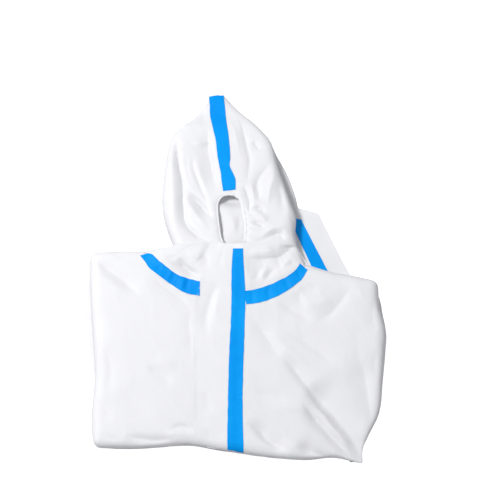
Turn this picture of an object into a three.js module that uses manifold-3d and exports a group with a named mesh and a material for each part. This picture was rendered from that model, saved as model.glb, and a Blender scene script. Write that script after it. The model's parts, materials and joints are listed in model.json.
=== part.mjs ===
// A hooded isolation coverall, folded into a flat bundle and lying on its back: the front body panels, storm flap
// and hood face up, and the sleeves, back, lower body and legs are folded away underneath.
// Millimetres. +X to the viewer's right, +Y towards the hood's peak, +Z up from the surface it lies on.

import * as THREE from "three";
import Module from "manifold-3d";

const wasm = await Module();
wasm.setup();

// Driving sizes
const CLOTH = 1.5; // wall of a cloth panel
const TAPE = 1; // wall of a seam tape
const SEAM_GAP = 0.3; // between pieces that meet at a seam or lie on each other
const TAPE_HALF = 13.5; // half the width of a seam tape
const RIM_Z = 18; // height at which the front panels turn under at the bundle's folds
const FOLD_REACH = 24; // how far in from a fold the rounding reaches
const FOLD_ARC = 36; // cloth length from a fold's rim to the flat
const CORNER_REACH = 9; // the same at the drawn-out bottom right corner
const CORNER_SPREAD = 95; // how far that corner's slope reaches
const CORNER_DROP = 15; // how far the bundle sinks there
const HOOD_START = 56; // Y where the hood leaves the bundle and lies on the surface
const OPENING_TOP = 142; // Y of the face opening's upper end
const OPENING_CLOSES = 151; // Y where the hood's two panels meet above it
const PEAK_Y = 342;
const NECK_LIFT = 4; // how far the hood's base stands up over the bundle
const HIDDEN_SINK = 1.5; // how much lower the folded layers lie under the hood's base
const CASING = { width: 5, height: 3, clearance: 1 };

// Side folds of the folded body, and the lines that run down its front, from bottom to top
const BODY_LINES = [
  { y: -345, left: -246, flap: -71, seam: 5, right: 233 },
  { y: -318, left: -248, flap: -71, seam: 5, right: 233 },
  { y: -296, left: -251, flap: -70, seam: 5, right: 242 },
  { y: -250, left: -252, flap: -69, seam: 5, right: 263 },
  { y: -190, left: -247, flap: -69, seam: 5, right: 269 },
  { y: -130, left: -249, flap: -70, seam: 6, right: 274 },
  { y: -104, left: -251, flap: -71, seam: 7, right: 275 },
  { y: -56, left: -254, flap: -66, seam: 9, right: 264 },
  { y: -16, left: -256, flap: -58, seam: 10, right: 262 },
  { y: 46, left: -256, flap: -48, seam: 10, right: 262 },
];

// Bottom fold and shoulder fold, from left to right
const BODY_ENDS = [
  { x: -256, bottom: -315, shoulder: 45 },
  { x: -170, bottom: -316, shoulder: 47 },
  { x: -76, bottom: -311, shoulder: 46 },
  { x: -7, bottom: -322, shoulder: 42 },
  { x: 60, bottom: -332, shoulder: 35 },
  { x: 124, bottom: -337, shoulder: 24 },
  { x: 181, bottom: -333, shoulder: 7 },
  { x: 221, bottom: -342, shoulder: 0 },
  { x: 262, bottom: -350, shoulder: -9 },
];

// Height of the folded body's top
const BODY_HEIGHT = [
  { y: -330, z: 34 },
  { y: -240, z: 38 },
  { y: -120, z: 41 },
  { y: 0, z: 40 },
  { y: 46, z: 37 },
];

// Neck seam, from the left shoulder to the right one
const NECK_SEAM = [
  { x: -160, y: 34 },
  { x: -130, y: 9 },
  { x: -102, y: -13 },
  { x: -80, y: -21 },
  { x: -58, y: -27 },
  { x: 10, y: -47 },
  { x: 53, y: -38 },
  { x: 85, y: -25 },
  { x: 116, y: -5 },
  { x: 134, y: 16 },
];

// The hood from the neck to the peak: its side folds, centre seam, height and the height of its side folds' rims
const HOOD_LINES = [
  { y: HOOD_START, left: -106, right: 117, seam: 8, height: 45, rim: 15 },
  { y: 79, left: -115, right: 114, seam: 4, height: 43, rim: 14 },
  { y: 110, left: -124, right: 121, seam: 0, height: 40, rim: 13 },
  { y: 140, left: -127, right: 117, seam: -4, height: 38, rim: 13 },
  { y: 178, left: -125, right: 105, seam: -7, height: 36, rim: 12 },
  { y: 215, left: -120, right: 84, seam: -15, height: 31, rim: 11 },
  { y: 246, left: -115, right: 73, seam: -17, height: 26, rim: 10 },
  { y: 273, left: -102, right: 53, seam: -21, height: 21, rim: 8 },
  { y: 296, left: -70, right: 31, seam: -26, height: 16, rim: 7 },
  { y: 321, left: -49, right: 3, seam: -28, height: 12, rim: 5 },
  { y: PEAK_Y, left: -43, right: -15, seam: -29, height: 9, rim: 4 },
];

// The face opening's two edges
const FACE_OPENING = [
  { y: 57, left: -14, right: 19 },
  { y: 70, left: -19, right: 21 },
  { y: 90, left: -22, right: 21 },
  { y: 110, left: -24, right: 19 },
  { y: 125, left: -25, right: 16 },
  { y: 136, left: -20, right: 9 },
  { y: OPENING_TOP, left: -16, right: 6 },
];

// The largest folds that cross the front: a trough (or a ridge, where depth is below 0) between two ends
const FRONT_FOLDS = [
  { name: "long right", x0: 40, y0: -85, x1: 225, y1: -310, width: 24, depth: 6 },
  { name: "low right", x0: 35, y0: -236, x1: 180, y1: -290, width: 20, depth: 3 },
  { name: "chest outer", x0: 120, y0: -90, x1: 215, y1: -15, width: 20, depth: 3 },
  { name: "left shoulder", x0: -240, y0: 14, x1: -160, y1: -40, width: 20, depth: 3 },
  { name: "left low", x0: -170, y0: -160, x1: -95, y1: -222, width: 20, depth: 3 },
];

// The largest folds of the hood, in the same terms
const HOOD_FOLDS = [
  { name: "left roll", x0: -98, y0: 262, x1: -84, y1: 95, width: 14, depth: 6 },
  { name: "cheek", x0: -88, y0: 156, x1: -34, y1: 104, width: 13, depth: 6 },
  { name: "beside the seam", x0: -44, y0: 256, x1: -30, y1: 180, width: 14, depth: 5 },
  { name: "right gather", x0: 16, y0: 285, x1: 28, y1: 165, width: 13, depth: 4 },
  { name: "right cheek", x0: 70, y0: 215, x1: 42, y1: 140, width: 13, depth: 4 },
];

// The folded sleeve's rim beside each side fold: how far it stands out past it, from bottom to top
const LEFT_SLEEVE = [
  { y: -285, out: 0 },
  { y: -185, out: 1 },
  { y: -142, out: 5 },
  { y: -100, out: 9 },
  { y: -61, out: 12 },
  { y: -10, out: 18 },
  { y: 30, out: 19 },
];
const RIGHT_SLEEVE = [
  { y: -240, out: 0 },
  { y: -150, out: 1 },
  { y: -104, out: 1 },
  { y: -70, out: 3.5 },
  { y: -35, out: 5 },
];

// The edge of the folded layers under the front, from the front's rim down to the surface: how far in from the
// fold each step lies, along the bottom and shoulder folds and along the sides, where the sleeves fill the recess
const LAYER_STEPS = [
  { z: 17.6, ends: 5, sides: 16 },
  { z: 16.4, ends: 1, sides: 16 },
  { z: 12.4, ends: 1, sides: 16 },
  { z: 9.2, ends: 6, sides: 16 },
  { z: 8.2, ends: 2, sides: 2 },
  { z: 4.2, ends: 0, sides: 0 },
  { z: 0, ends: 5, sides: 5 },
];

const smooth = (t) => {
  const s = THREE.MathUtils.clamp(t, 0, 1);
  return s * s * (3 - 2 * s);
};
const mix = THREE.MathUtils.lerp;
const { hypot, cos, sin, acos, sqrt, min, max, abs, PI } = Math;

// A column's value at a place along a table, on a curve that turns smoothly through its rows.
function read(table, column, at, key = "y") {
  const last = table.length - 1;
  if (at <= table[0][key]) return table[0][column];
  if (at >= table[last][key]) return table[last][column];
  const i = table.findIndex((row) => row[key] > at) - 1;
  const slope = (k) => {
    const a = table[max(k - 1, 0)];
    const b = table[min(k + 1, last)];
    return (b[column] - a[column]) / (b[key] - a[key]);
  };
  const step = table[i + 1][key] - table[i][key];
  const t = (at - table[i][key]) / step;
  const [p, q] = [table[i][column], table[i + 1][column]];
  const hermite = (2 * t - 3) * t * t;
  return (
    p * (1 + hermite) -
    q * hermite +
    step * t * (1 - t) * (slope(i) * (1 - t) - slope(i + 1) * t)
  );
}

// How deep the folds of a table press in at a place. Each is a soft trough that dies away at both ends.
function foldDepth(folds, x, y) {
  let depth = 0;
  for (const fold of folds) {
    const [dx, dy] = [fold.x1 - fold.x0, fold.y1 - fold.y0];
    const length = hypot(dx, dy);
    const along = ((x - fold.x0) * dx + (y - fold.y0) * dy) / length;
    const across = ((x - fold.x0) * dy - (y - fold.y0) * dx) / length / fold.width;
    const fade = smooth(along / fold.width) * smooth((length - along) / fold.width);
    depth += fold.depth * fade * Math.exp(-across * across);
  }
  return depth;
}

// The folded body's top. All of it is worked out from the distances to its four folds.
const bodyHeight = (x, y) => {
  const corner = smooth(1 - hypot(x - 233, y + 345) / CORNER_SPREAD);
  return read(BODY_HEIGHT, "z", y) - CORNER_DROP * corner - foldDepth(FRONT_FOLDS, x, y);
};
const reachAt = (x, y) =>
  mix(FOLD_REACH, CORNER_REACH, smooth(1.4 - hypot(x - 233, y + 345) / 45));

function bodyTop(x, y) {
  const reach = reachAt(x, y);
  const across = min(x - read(BODY_LINES, "left", y), read(BODY_LINES, "right", y) - x);
  const along = min(y - read(BODY_ENDS, "bottom", x, "x"), read(BODY_ENDS, "shoulder", x, "x") - y);
  const a = 1 - THREE.MathUtils.clamp(across / reach, 0, 1);
  const b = 1 - THREE.MathUtils.clamp(along / reach, 0, 1);
  return RIM_Z + (bodyHeight(x, y) - RIM_Z) * sqrt(max(0, 1 - a * a - b * b));
}

// Cloth length from a fold's rim, for a distance in from the fold, and the other way round.
const clothLength = (distance) =>
  distance < FOLD_REACH
    ? (acos(1 - distance / FOLD_REACH) * 2 * FOLD_ARC) / PI
    : FOLD_ARC + distance - FOLD_REACH;
const distanceIn = (length) =>
  length < FOLD_ARC
    ? FOLD_REACH * (1 - cos((length / FOLD_ARC) * (PI / 2)))
    : FOLD_REACH + length - FOLD_ARC;

// Cloth length, in from the shoulder fold, at which the front panels end: 0 at the shoulders, the neck seam between.
function frontEnd(x) {
  const [first, last] = [NECK_SEAM[0].x, NECK_SEAM[NECK_SEAM.length - 1].x];
  if (x <= first || x >= last) return 0;
  return clothLength(read(BODY_ENDS, "shoulder", x, "x") - read(NECK_SEAM, "y", x, "x"));
}

// The grid's columns. An edge column lies a length of cloth in from a side fold, and the others divide the flat:
// evenly low down, and by the given shares at the neck, where they close up towards the ends of its seam.
const EDGE_LENGTHS = [0, 9, 18, 27, FOLD_ARC];
const NECK_FOOT = -40; // Y below which the columns start to spread evenly
const NECK_SPREAD = 100; // and how far down it takes them
const STRETCHES = [
  { name: "leftChest", from: "leftFlat", to: "neckLeft", shares: [0.34, 0.7, 1] },
  { name: "leftNeck", from: "neckLeft", to: "flap", shares: [0.06, 0.27, 0.5, 0.75, 1] },
  { name: "flap", from: "flap", to: "tapeLeft", shares: [0.5, 1] },
  { name: "tapeLeft", from: "tapeLeft", to: "seam", shares: [1] },
  { name: "tapeRight", from: "seam", to: "tapeRight", shares: [1] },
  { name: "rightNeck", from: "tapeRight", to: "neckRight", shares: [0.2, 0.4, 0.6, 0.8, 0.94, 1] },
  { name: "rightChest", from: "neckRight", to: "rightFlat", shares: [0.25, 0.5, 0.75, 1] },
];
const LINES = {
  leftFlat: (y, reach) => read(BODY_LINES, "left", y) + reach,
  neckLeft: () => NECK_SEAM[0].x,
  flap: (y) => read(BODY_LINES, "flap", y),
  tapeLeft: (y) => read(BODY_LINES, "seam", y) - TAPE_HALF,
  seam: (y) => read(BODY_LINES, "seam", y),
  tapeRight: (y) => read(BODY_LINES, "seam", y) + TAPE_HALF,
  neckRight: () => NECK_SEAM[NECK_SEAM.length - 1].x,
  rightFlat: (y, reach) => read(BODY_LINES, "right", y) - reach,
};
const columns = EDGE_LENGTHS.map((length) => ({ side: -1, length }));
const columnOf = {};
for (const { name, from, to, shares } of STRETCHES) {
  columnOf[name] = columns.length - 1;
  shares.forEach((share, k) => columns.push({ side: 0, from, to, share, even: (k + 1) / shares.length }));
}
columnOf.rightFlat = columns.length - 1;
for (const length of [...EDGE_LENGTHS].reverse().slice(1)) columns.push({ side: 1, length });

// The grid's rows: up from the bottom fold, over the front to its upper end, then under the hood to the shoulder fold.
const FRONT_PARTS = 9;
const END_LENGTHS = [38, 26, 13, 6, 0];
const HIDDEN_SHARES = [0.35, 0.6, 0.76, 0.89, 1];
const rows = EDGE_LENGTHS.map((length) => ({ part: "bottom", length }));
for (let k = 1; k < FRONT_PARTS; k++) rows.push({ part: "front", share: k / FRONT_PARTS });
for (const length of END_LENGTHS) rows.push({ part: "end", length });
const NECK_ROW = rows.length - 1;
for (const share of HIDDEN_SHARES) rows.push({ part: "hidden", share });

// How far a length of cloth reaches round a fold: 1 at its rim, 0 where the flat begins.
const turnOf = (length) => (length < FOLD_ARC ? cos((length / FOLD_ARC) * (PI / 2)) : 0);

// Where a column and a row of the body's grid cross. A few passes settle x and y, since each depends on the other.
function bodyPoint(column, row) {
  const side = column.side ? turnOf(column.length) : 0;
  let [x, y] = [0, -150];
  let [a, b] = [side, 0];
  for (let pass = 0; pass < 8; pass++) {
    const reach = reachAt(x, y);
    const bottom = read(BODY_ENDS, "bottom", x, "x");
    const shoulder = read(BODY_ENDS, "shoulder", x, "x");
    const end = frontEnd(x);
    const lastFlat = shoulder - distanceIn(end + END_LENGTHS[0]);
    const fromTop = row.part === "end" ? end + row.length : end * (1 - row.share);
    let over = 0;
    if (row.part === "bottom") over = turnOf(row.length);
    if (row.part === "end" || row.part === "hidden") over = turnOf(fromTop);
    a = side * sqrt(1 - (over * over) / 2);
    b = over * sqrt(1 - (side * side) / 2);
    if (row.part === "bottom") y = bottom + reach * (1 - b);
    else if (row.part === "front") y = mix(bottom + reach, lastFlat, row.share);
    else if (b > 0) y = shoulder - reach * (1 - b);
    else y = shoulder - distanceIn(fromTop);
    if (column.side < 0) x = read(BODY_LINES, "left", y) + reach * (1 - a);
    else if (column.side > 0) x = read(BODY_LINES, "right", y) - reach * (1 - a);
    else {
      const share = mix(column.share, column.even, smooth((NECK_FOOT - y) / NECK_SPREAD));
      x = mix(LINES[column.from](y, reach), LINES[column.to](y, reach), share);
    }
  }
  const dome = sqrt(max(0, 1 - a * a - b * b));
  return new THREE.Vector3(x, y, RIM_Z + (bodyHeight(x, y) - RIM_Z) * dome);
}

// A grid is a list of rows of points. Its normals come from its own neighbours.
function normalsOf(grid) {
  const [lastRow, lastColumn] = [grid.length - 1, grid[0].length - 1];
  return grid.map((line, r) =>
    line.map((_, c) => {
      const across = line[min(c + 1, lastColumn)].clone().sub(line[max(c - 1, 0)]);
      const up = grid[min(r + 1, lastRow)][c].clone().sub(grid[max(r - 1, 0)][c]);
      return across.cross(up).normalize();
    }),
  );
}
const moved = (grid, normals, distance) =>
  grid.map((line, r) => line.map((p, c) => p.clone().addScaledVector(normals[r][c], distance)));
const slice = (grid, [row0, row1], [column0, column1]) =>
  grid.slice(row0, row1 + 1).map((line) => line.slice(column0, column1 + 1));

// A solid from points and triangles. Points that coincide are merged, and a solid that came out inside out is turned.
function solid(points, triangles) {
  const index = new Map();
  const position = [];
  const ids = points.map((p) => {
    const key = [p.x, p.y, p.z].map((v) => Math.round(v * 1000)).join();
    if (!index.has(key)) {
      index.set(key, position.length / 3);
      position.push(p.x, p.y, p.z);
    }
    return index.get(key);
  });
  const faces = triangles
    .map((corners) => corners.map((k) => ids[k]))
    .filter(([a, b, c]) => a !== b && b !== c && c !== a);
  const at = (k) => new THREE.Vector3().fromArray(position, 3 * k);
  const volume = faces.reduce((sum, [a, b, c]) => sum + at(a).dot(at(b).cross(at(c))), 0);
  if (volume < 0) faces.forEach((face) => face.reverse());
  const geometry = new THREE.BufferGeometry();
  geometry.setAttribute("position", new THREE.Float32BufferAttribute(position, 3));
  geometry.setIndex(faces.flat());
  geometry.computeVertexNormals();
  return geometry;
}

// A closed wall between an outer and an inner grid.
function wall(outer, inner) {
  const [height, width] = [outer.length, outer[0].length];
  const points = [...outer.flat(), ...inner.flat()];
  const out = (r, c) => r * width + c;
  const inn = (r, c) => height * width + r * width + c;
  const triangles = [];
  const quad = (a, b, c, d) => triangles.push([a, b, c], [a, c, d]);
  for (let r = 0; r < height - 1; r++)
    for (let c = 0; c < width - 1; c++) {
      quad(out(r, c), out(r, c + 1), out(r + 1, c + 1), out(r + 1, c));
      quad(inn(r, c), inn(r + 1, c), inn(r + 1, c + 1), inn(r, c + 1));
    }
  for (let c = 0; c < width - 1; c++) {
    const r = height - 1;
    quad(inn(0, c), inn(0, c + 1), out(0, c + 1), out(0, c));
    quad(out(r, c), out(r, c + 1), inn(r, c + 1), inn(r, c));
  }
  for (let r = 0; r < height - 1; r++) {
    const c = width - 1;
    quad(inn(r + 1, 0), inn(r, 0), out(r, 0), out(r + 1, 0));
    quad(out(r + 1, c), out(r, c), inn(r, c), inn(r + 1, c));
  }
  return solid(points, triangles);
}

function toManifold(geometry) {
  return new wasm.Manifold(
    new wasm.Mesh({
      numProp: 3,
      vertProperties: new Float32Array(geometry.attributes.position.array),
      triVerts: new Uint32Array(geometry.index.array),
    }),
  );
}
function toGeometry(manifold) {
  const mesh = manifold.getMesh();
  const geometry = new THREE.BufferGeometry();
  geometry.setAttribute("position", new THREE.Float32BufferAttribute(mesh.vertProperties, 3));
  geometry.setIndex([...mesh.triVerts]);
  geometry.computeVertexNormals();
  return geometry;
}

const WHITE = { color: 0xf1f1f4, roughness: 0.75, metalness: 0 };
const BLUE = { color: 0x0a8be6, roughness: 0.4, metalness: 0 };
const garment = new THREE.Group();
function add(name, geometry, finish = WHITE) {
  const mesh = new THREE.Mesh(geometry, new THREE.MeshStandardMaterial(finish));
  mesh.name = name;
  garment.add(mesh);
}

// Front panels, parted at the zip line
const body = rows.map((row) => columns.map((column) => bodyPoint(column, row)));
const bodyNormals = normalsOf(body);
const [SEAM, LAST] = [columnOf.tapeRight, columns.length - 1];
function frontPanel(range, seamColumn, shift) {
  const outer = slice(body, [0, NECK_ROW], range).map((line) => line.map((p) => p.clone()));
  outer.forEach((line) => (line[seamColumn].x += shift));
  outer[NECK_ROW].forEach((p) => (p.y -= SEAM_GAP / 2));
  return wall(outer, moved(outer, slice(bodyNormals, [0, NECK_ROW], range), -CLOTH));
}
add("front_left", frontPanel([0, SEAM], SEAM, -SEAM_GAP / 2));
add("front_right", frontPanel([SEAM, LAST], 0, SEAM_GAP / 2));

// Folded layers: the back, lower body and legs, under the front and as wide as it
function foldedLayers() {
  const top = moved(body, bodyNormals, -(CLOTH + SEAM_GAP));
  for (let r = NECK_ROW + 1; r < rows.length; r++)
    top[r].forEach((p, c) => (p.z -= HIDDEN_SINK * smooth(body[r][c].distanceTo(body[NECK_ROW][c]) / 10)));
  const [height, width] = [top.length, top[0].length];
  const ring = [];
  for (let c = 0; c < width; c++) ring.push([0, c]);
  for (let r = 1; r < height; r++) ring.push([r, width - 1]);
  for (let c = width - 2; c >= 0; c--) ring.push([height - 1, c]);
  for (let r = height - 2; r > 0; r--) ring.push([r, 0]);
  // A place on the ring that repeats (the shoulder folds have no hidden rows) takes its direction from further along.
  const at = (k) => {
    const [r, c] = ring[(k + ring.length) % ring.length];
    return body[r][c];
  };
  const inward = ring.map((_, k) => {
    let [before, after] = [k - 1, k + 1];
    while (at(before).distanceTo(at(k)) < 1) before--;
    while (at(after).distanceTo(at(k)) < 1) after++;
    const along = at(after).clone().sub(at(before)).setZ(0).normalize();
    return new THREE.Vector3(-along.y, along.x, 0);
  });
  const sideShare = ([r, c], k) => {
    const p = at(k);
    const fromBottom = p.y - read(BODY_ENDS, "bottom", p.x, "x");
    const fromShoulder = read(BODY_ENDS, "shoulder", p.x, "x") - p.y;
    return c === 0 || c === width - 1 ? smooth(min(fromBottom - 8, fromShoulder - 2) / 12) : 0;
  };
  const points = top.flat();
  const loops = [ring.map(([r, c]) => r * width + c)];
  for (const step of LAYER_STEPS) {
    loops.push(
      ring.map((place, k) => {
        const inset = mix(step.ends, step.sides, sideShare(place, k));
        points.push(at(k).clone().addScaledVector(inward[k], inset).setZ(step.z));
        return points.length - 1;
      }),
    );
  }
  const triangles = [];
  const quad = (a, b, c, d) => triangles.push([a, b, c], [a, c, d]);
  for (let r = 0; r < height - 1; r++)
    for (let c = 0; c < width - 1; c++) {
      const k = r * width + c;
      quad(k, k + 1, k + width + 1, k + width);
    }
  for (let j = 0; j < loops.length - 1; j++)
    for (let k = 0; k < ring.length; k++) {
      const next = (k + 1) % ring.length;
      quad(loops[j][next], loops[j][k], loops[j + 1][k], loops[j + 1][next]);
    }
  points.push(new THREE.Vector3(0, -150, 0));
  const base = loops[loops.length - 1];
  base.forEach((a, k) => triangles.push([base[(k + 1) % base.length], a, points.length - 1]));
  return solid(points, triangles);
}
add("folded_layers", foldedLayers());

// Hood: from the neck seam up over the bundle, then on the surface to its peak
const hoodOut = (side, y) => read(HOOD_LINES, side < 0 ? "left" : "right", y);
const hoodSeam = (y) =>
  y < HOOD_START ? read(BODY_LINES, "seam", y) : read(HOOD_LINES, "seam", y);
const openingEdge = (side, y) => read(FACE_OPENING, side < 0 ? "left" : "right", y);
function hoodInner(side, y) {
  if (y < HOOD_START || y >= OPENING_CLOSES) return hoodSeam(y) + (side * SEAM_GAP) / 2;
  return openingEdge(side, y) + side * (CASING.width + CASING.clearance);
}
// How far in from a side fold the hood's rounding reaches, and the height of its top
const hoodReach = (y) => min(26, 0.7 * read(HOOD_LINES, "rim", y) + 14);
function hoodHeight(side, x, y) {
  const rim = read(HOOD_LINES, "rim", y);
  const inset = side * (hoodOut(side, y) - x);
  const a = 1 - min(inset / hoodReach(y), 1);
  const height = read(HOOD_LINES, "height", y) - foldDepth(HOOD_FOLDS, x, y);
  return rim + (max(height, rim + 1) - rim) * sqrt(max(0, 1 - a * a));
}
const HOOD_EDGE = [0.62, 0.84, 0.96, 1]; // shares of the rounding's reach, out to the side fold's rim
// and round under it to the back layer: how far in, and at what share of the rim's height
const UNDER = [
  { inset: 1.5, z: 0.45 },
  { inset: 5, z: 0.06 },
];
// Rows over the bundle, as shares of the way from the neck seam to where the hood leaves it. The second is in mm.
const BASE_SHARES = [0, TAPE_HALF, 0.45, 0.72, 0.9];
const OPENING_ROWS = [HOOD_START, 70, 86, 104, 122, 136, OPENING_TOP, OPENING_CLOSES];
const HOOD_ROWS = [...OPENING_ROWS, 168, 187, 208, 229, 250, 270, 290, 307, 324, PEAK_Y];

// Past the second last of the neck's columns a hood panel has more columns than the body's grid, for its side fold.
const EXTRA_COLUMNS = HOOD_EDGE.length + UNDER.length;
function spread(line) {
  const [before, end] = line.slice(-2);
  const shares = [...Array(EXTRA_COLUMNS + 1).keys()].map((k) => 0.5 + (0.45 * k) / (EXTRA_COLUMNS + 1));
  return [...line.slice(0, -1), ...shares.map((share) => before.clone().lerp(end, share))];
}

function hoodPanel(side) {
  const neck = side < 0
    ? body[NECK_ROW].slice(columnOf.leftNeck, SEAM + 1).reverse()
    : body[NECK_ROW].slice(SEAM, columnOf.rightChest + 1);
  const span = abs(neck[neck.length - 1].x - neck[0].x);
  const shares = neck.map((p) => abs(p.x - neck[0].x) / span);
  const topPoint = (share, y) => {
    const inner = hoodInner(side, y);
    const out = hoodOut(side, y);
    const x = mix(inner, out - side * min(hoodReach(y), abs(out - inner) * 0.45), share);
    return new THREE.Vector3(x, y, hoodHeight(side, x, y));
  };
  const edgePoint = (share, y) => {
    const x = mix(topPoint(1, y).x, hoodOut(side, y), sin((share * PI) / 2));
    return new THREE.Vector3(x, y, share < 1 ? hoodHeight(side, x, y) : read(HOOD_LINES, "rim", y));
  };
  const underPoint = ({ inset, z }, y) =>
    new THREE.Vector3(hoodOut(side, y) - side * inset, y, max(CLOTH / 2, z * read(HOOD_LINES, "rim", y)));
  const line = (y) => [
    ...shares.map((share) => topPoint(share, y)),
    ...HOOD_EDGE.map((share) => edgePoint(share, y)),
    ...UNDER.map((step) => underPoint(step, y)),
  ];
  const above = line(HOOD_START);
  const outerX = above[neck.length - 1].x;
  const base = BASE_SHARES.map((given) =>
    spread(neck).map((p, k) => {
      const rise = HOOD_START - p.y;
      const share = given === TAPE_HALF ? min(TAPE_HALF / rise, 0.3) : given;
      const y = p.y + SEAM_GAP / 2 + share * rise;
      const target = k < neck.length ? mix(hoodSeam(y), outerX, shares[k]) : above[k].x;
      const x = mix(p.x, target, share) + (k ? 0 : (side * SEAM_GAP) / 2);
      const lift = NECK_LIFT * smooth(share * 4);
      return new THREE.Vector3(x, y, max(mix(p.z, above[k].z, share), bodyTop(x, y) + lift));
    }),
  );
  const grid = [...base, ...HOOD_ROWS.map(line)];
  if (side < 0) grid.forEach((row) => row.reverse());
  return grid;
}
const hood = { left: hoodPanel(-1), right: hoodPanel(1) };
const hoodNormals = { left: normalsOf(hood.left), right: normalsOf(hood.right) };

// The hood's back layer, flat on the surface, as wide as its side folds
function hoodBack(side) {
  const levels = [HOOD_START + 1, ...HOOD_ROWS.slice(1)];
  const outer = levels.map((y) => new THREE.Vector2(hoodOut(side, y) - side * 3, y));
  const inner = levels.map((y) => new THREE.Vector2(hoodSeam(y) + (side * SEAM_GAP) / 2, y));
  const outline = new THREE.Shape([...outer, ...inner.reverse()]);
  const plate = new THREE.ExtrudeGeometry(outline, { depth: CLOTH, bevelEnabled: false });
  const position = plate.attributes.position;
  const points = [...Array(position.count).keys()].map((k) => new THREE.Vector3().fromBufferAttribute(position, k));
  const triangles = points.filter((_, k) => k % 3 === 0).map((_, k) => [3 * k, 3 * k + 1, 3 * k + 2]);
  return solid(points, triangles);
}
for (const [name, side] of [["left", -1], ["right", 1]]) {
  const shell = wall(hood[name], moved(hood[name], hoodNormals[name], -CLOTH));
  add("hood_" + name, toGeometry(toManifold(shell).add(toManifold(hoodBack(side)))));
}

// Elastic casing: a band inside the face opening's edge, up one side, over the top and down the other
function faceCasing() {
  const levels = [HOOD_START + 2, ...HOOD_ROWS.filter((y) => y > HOOD_START && y < OPENING_TOP)];
  const sides = [-1, 1].map((side) => levels.map((y) => [openingEdge(side, y), y]));
  const top = [(openingEdge(-1, OPENING_TOP) + openingEdge(1, OPENING_TOP)) / 2, OPENING_TOP];
  const path = [...sides[0], top, ...sides[1].reverse()].map(([x, y]) => new THREE.Vector2(x, y));
  const upper = path.map((p, k) => {
    const along = path[min(k + 1, path.length - 1)].clone().sub(path[max(k - 1, 0)]).normalize();
    const out = new THREE.Vector2(-along.y, along.x).multiplyScalar(CASING.width);
    const side = k < path.length / 2 ? -1 : 1;
    const z = hoodHeight(side, p.x + out.x, p.y + out.y);
    return [new THREE.Vector3(p.x + out.x, p.y + out.y, z), new THREE.Vector3(p.x, p.y, z)];
  });
  const under = upper.map((line) => line.map((p) => p.clone().setZ(p.z - CASING.height)));
  return wall(upper, under);
}
add("face_casing", faceCasing());

// Storm flap: over the left panel's inner edge and up over the hood's base, moved out from their points
const hoodWidth = { left: hood.left[0].length, right: hood.right[0].length };
const FLAP_COLUMNS = SEAM - columnOf.flap;
const BASE_ROWS = [1, BASE_SHARES.length - 1];
const upTo = (grid, hoodGrid, bodyColumns, hoodColumns) => [
  ...slice(grid, [0, NECK_ROW], bodyColumns),
  ...slice(hoodGrid, BASE_ROWS, hoodColumns),
];
const flapHood = [hoodWidth.left - 1 - FLAP_COLUMNS, hoodWidth.left - 1];
const flapBed = upTo(body, hood.left, [columnOf.flap, SEAM], flapHood);
const flapNormals = upTo(bodyNormals, hoodNormals.left, [columnOf.flap, SEAM], flapHood);
const layer = (bed, normals, from, thickness) =>
  wall(moved(bed, normals, from + thickness), moved(bed, normals, from));
add("storm_flap", layer(flapBed, flapNormals, SEAM_GAP, CLOTH));

// Seam tape down the centre: its left half on the flap, its right half on the right panel and hood
function centreTape() {
  const left = upTo(body, hood.left, [SEAM - 1, SEAM], [hoodWidth.left - 2, hoodWidth.left - 1]);
  const right = upTo(body, hood.right, [SEAM + 1, SEAM + 1], [1, 1]);
  const leftNormals = upTo(bodyNormals, hoodNormals.left, [SEAM - 1, SEAM], [hoodWidth.left - 2, hoodWidth.left - 1]);
  const rightNormals = upTo(bodyNormals, hoodNormals.right, [SEAM + 1, SEAM + 1], [1, 1]);
  const onFlap = CLOTH + 2 * SEAM_GAP;
  const at = (lift) =>
    left.map((line, r) => [
      ...line.map((p, c) => p.clone().addScaledVector(leftNormals[r][c], onFlap + lift)),
      right[r][0].clone().addScaledVector(rightNormals[r][0], SEAM_GAP + lift),
    ]);
  return wall(at(TAPE), at(0));
}
add("tape_centre_front", centreTape(), BLUE);

// Seam tape over the neck seam, half on the front panel and half on the hood's base
function neckTape(side, bodyColumns, hoodColumns, trim) {
  const bed = [
    ...slice(body, [NECK_ROW - 2, NECK_ROW], bodyColumns),
    ...slice(hood[side], [1, 1], hoodColumns),
  ].map((line) => line.map((p) => p.clone()));
  bed.forEach((line) => (line[trim < 0 ? line.length - 1 : 0].x += trim));
  return layer(bed, normalsOf(bed), SEAM_GAP, TAPE);
}
const [leftEnd, rightEnd] = [columnOf.leftNeck + 1, columnOf.rightChest - 1];
const hoodColumn = (column) => hoodWidth.left - 1 - (SEAM - column);
add(
  "tape_neck_left",
  neckTape("left", [leftEnd, columnOf.flap], [hoodColumn(leftEnd), hoodColumn(columnOf.flap)], -0.5),
  BLUE,
);
add("tape_neck_right", neckTape("right", [SEAM + 1, rightEnd], [1, rightEnd - SEAM], 0.5), BLUE);

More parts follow.
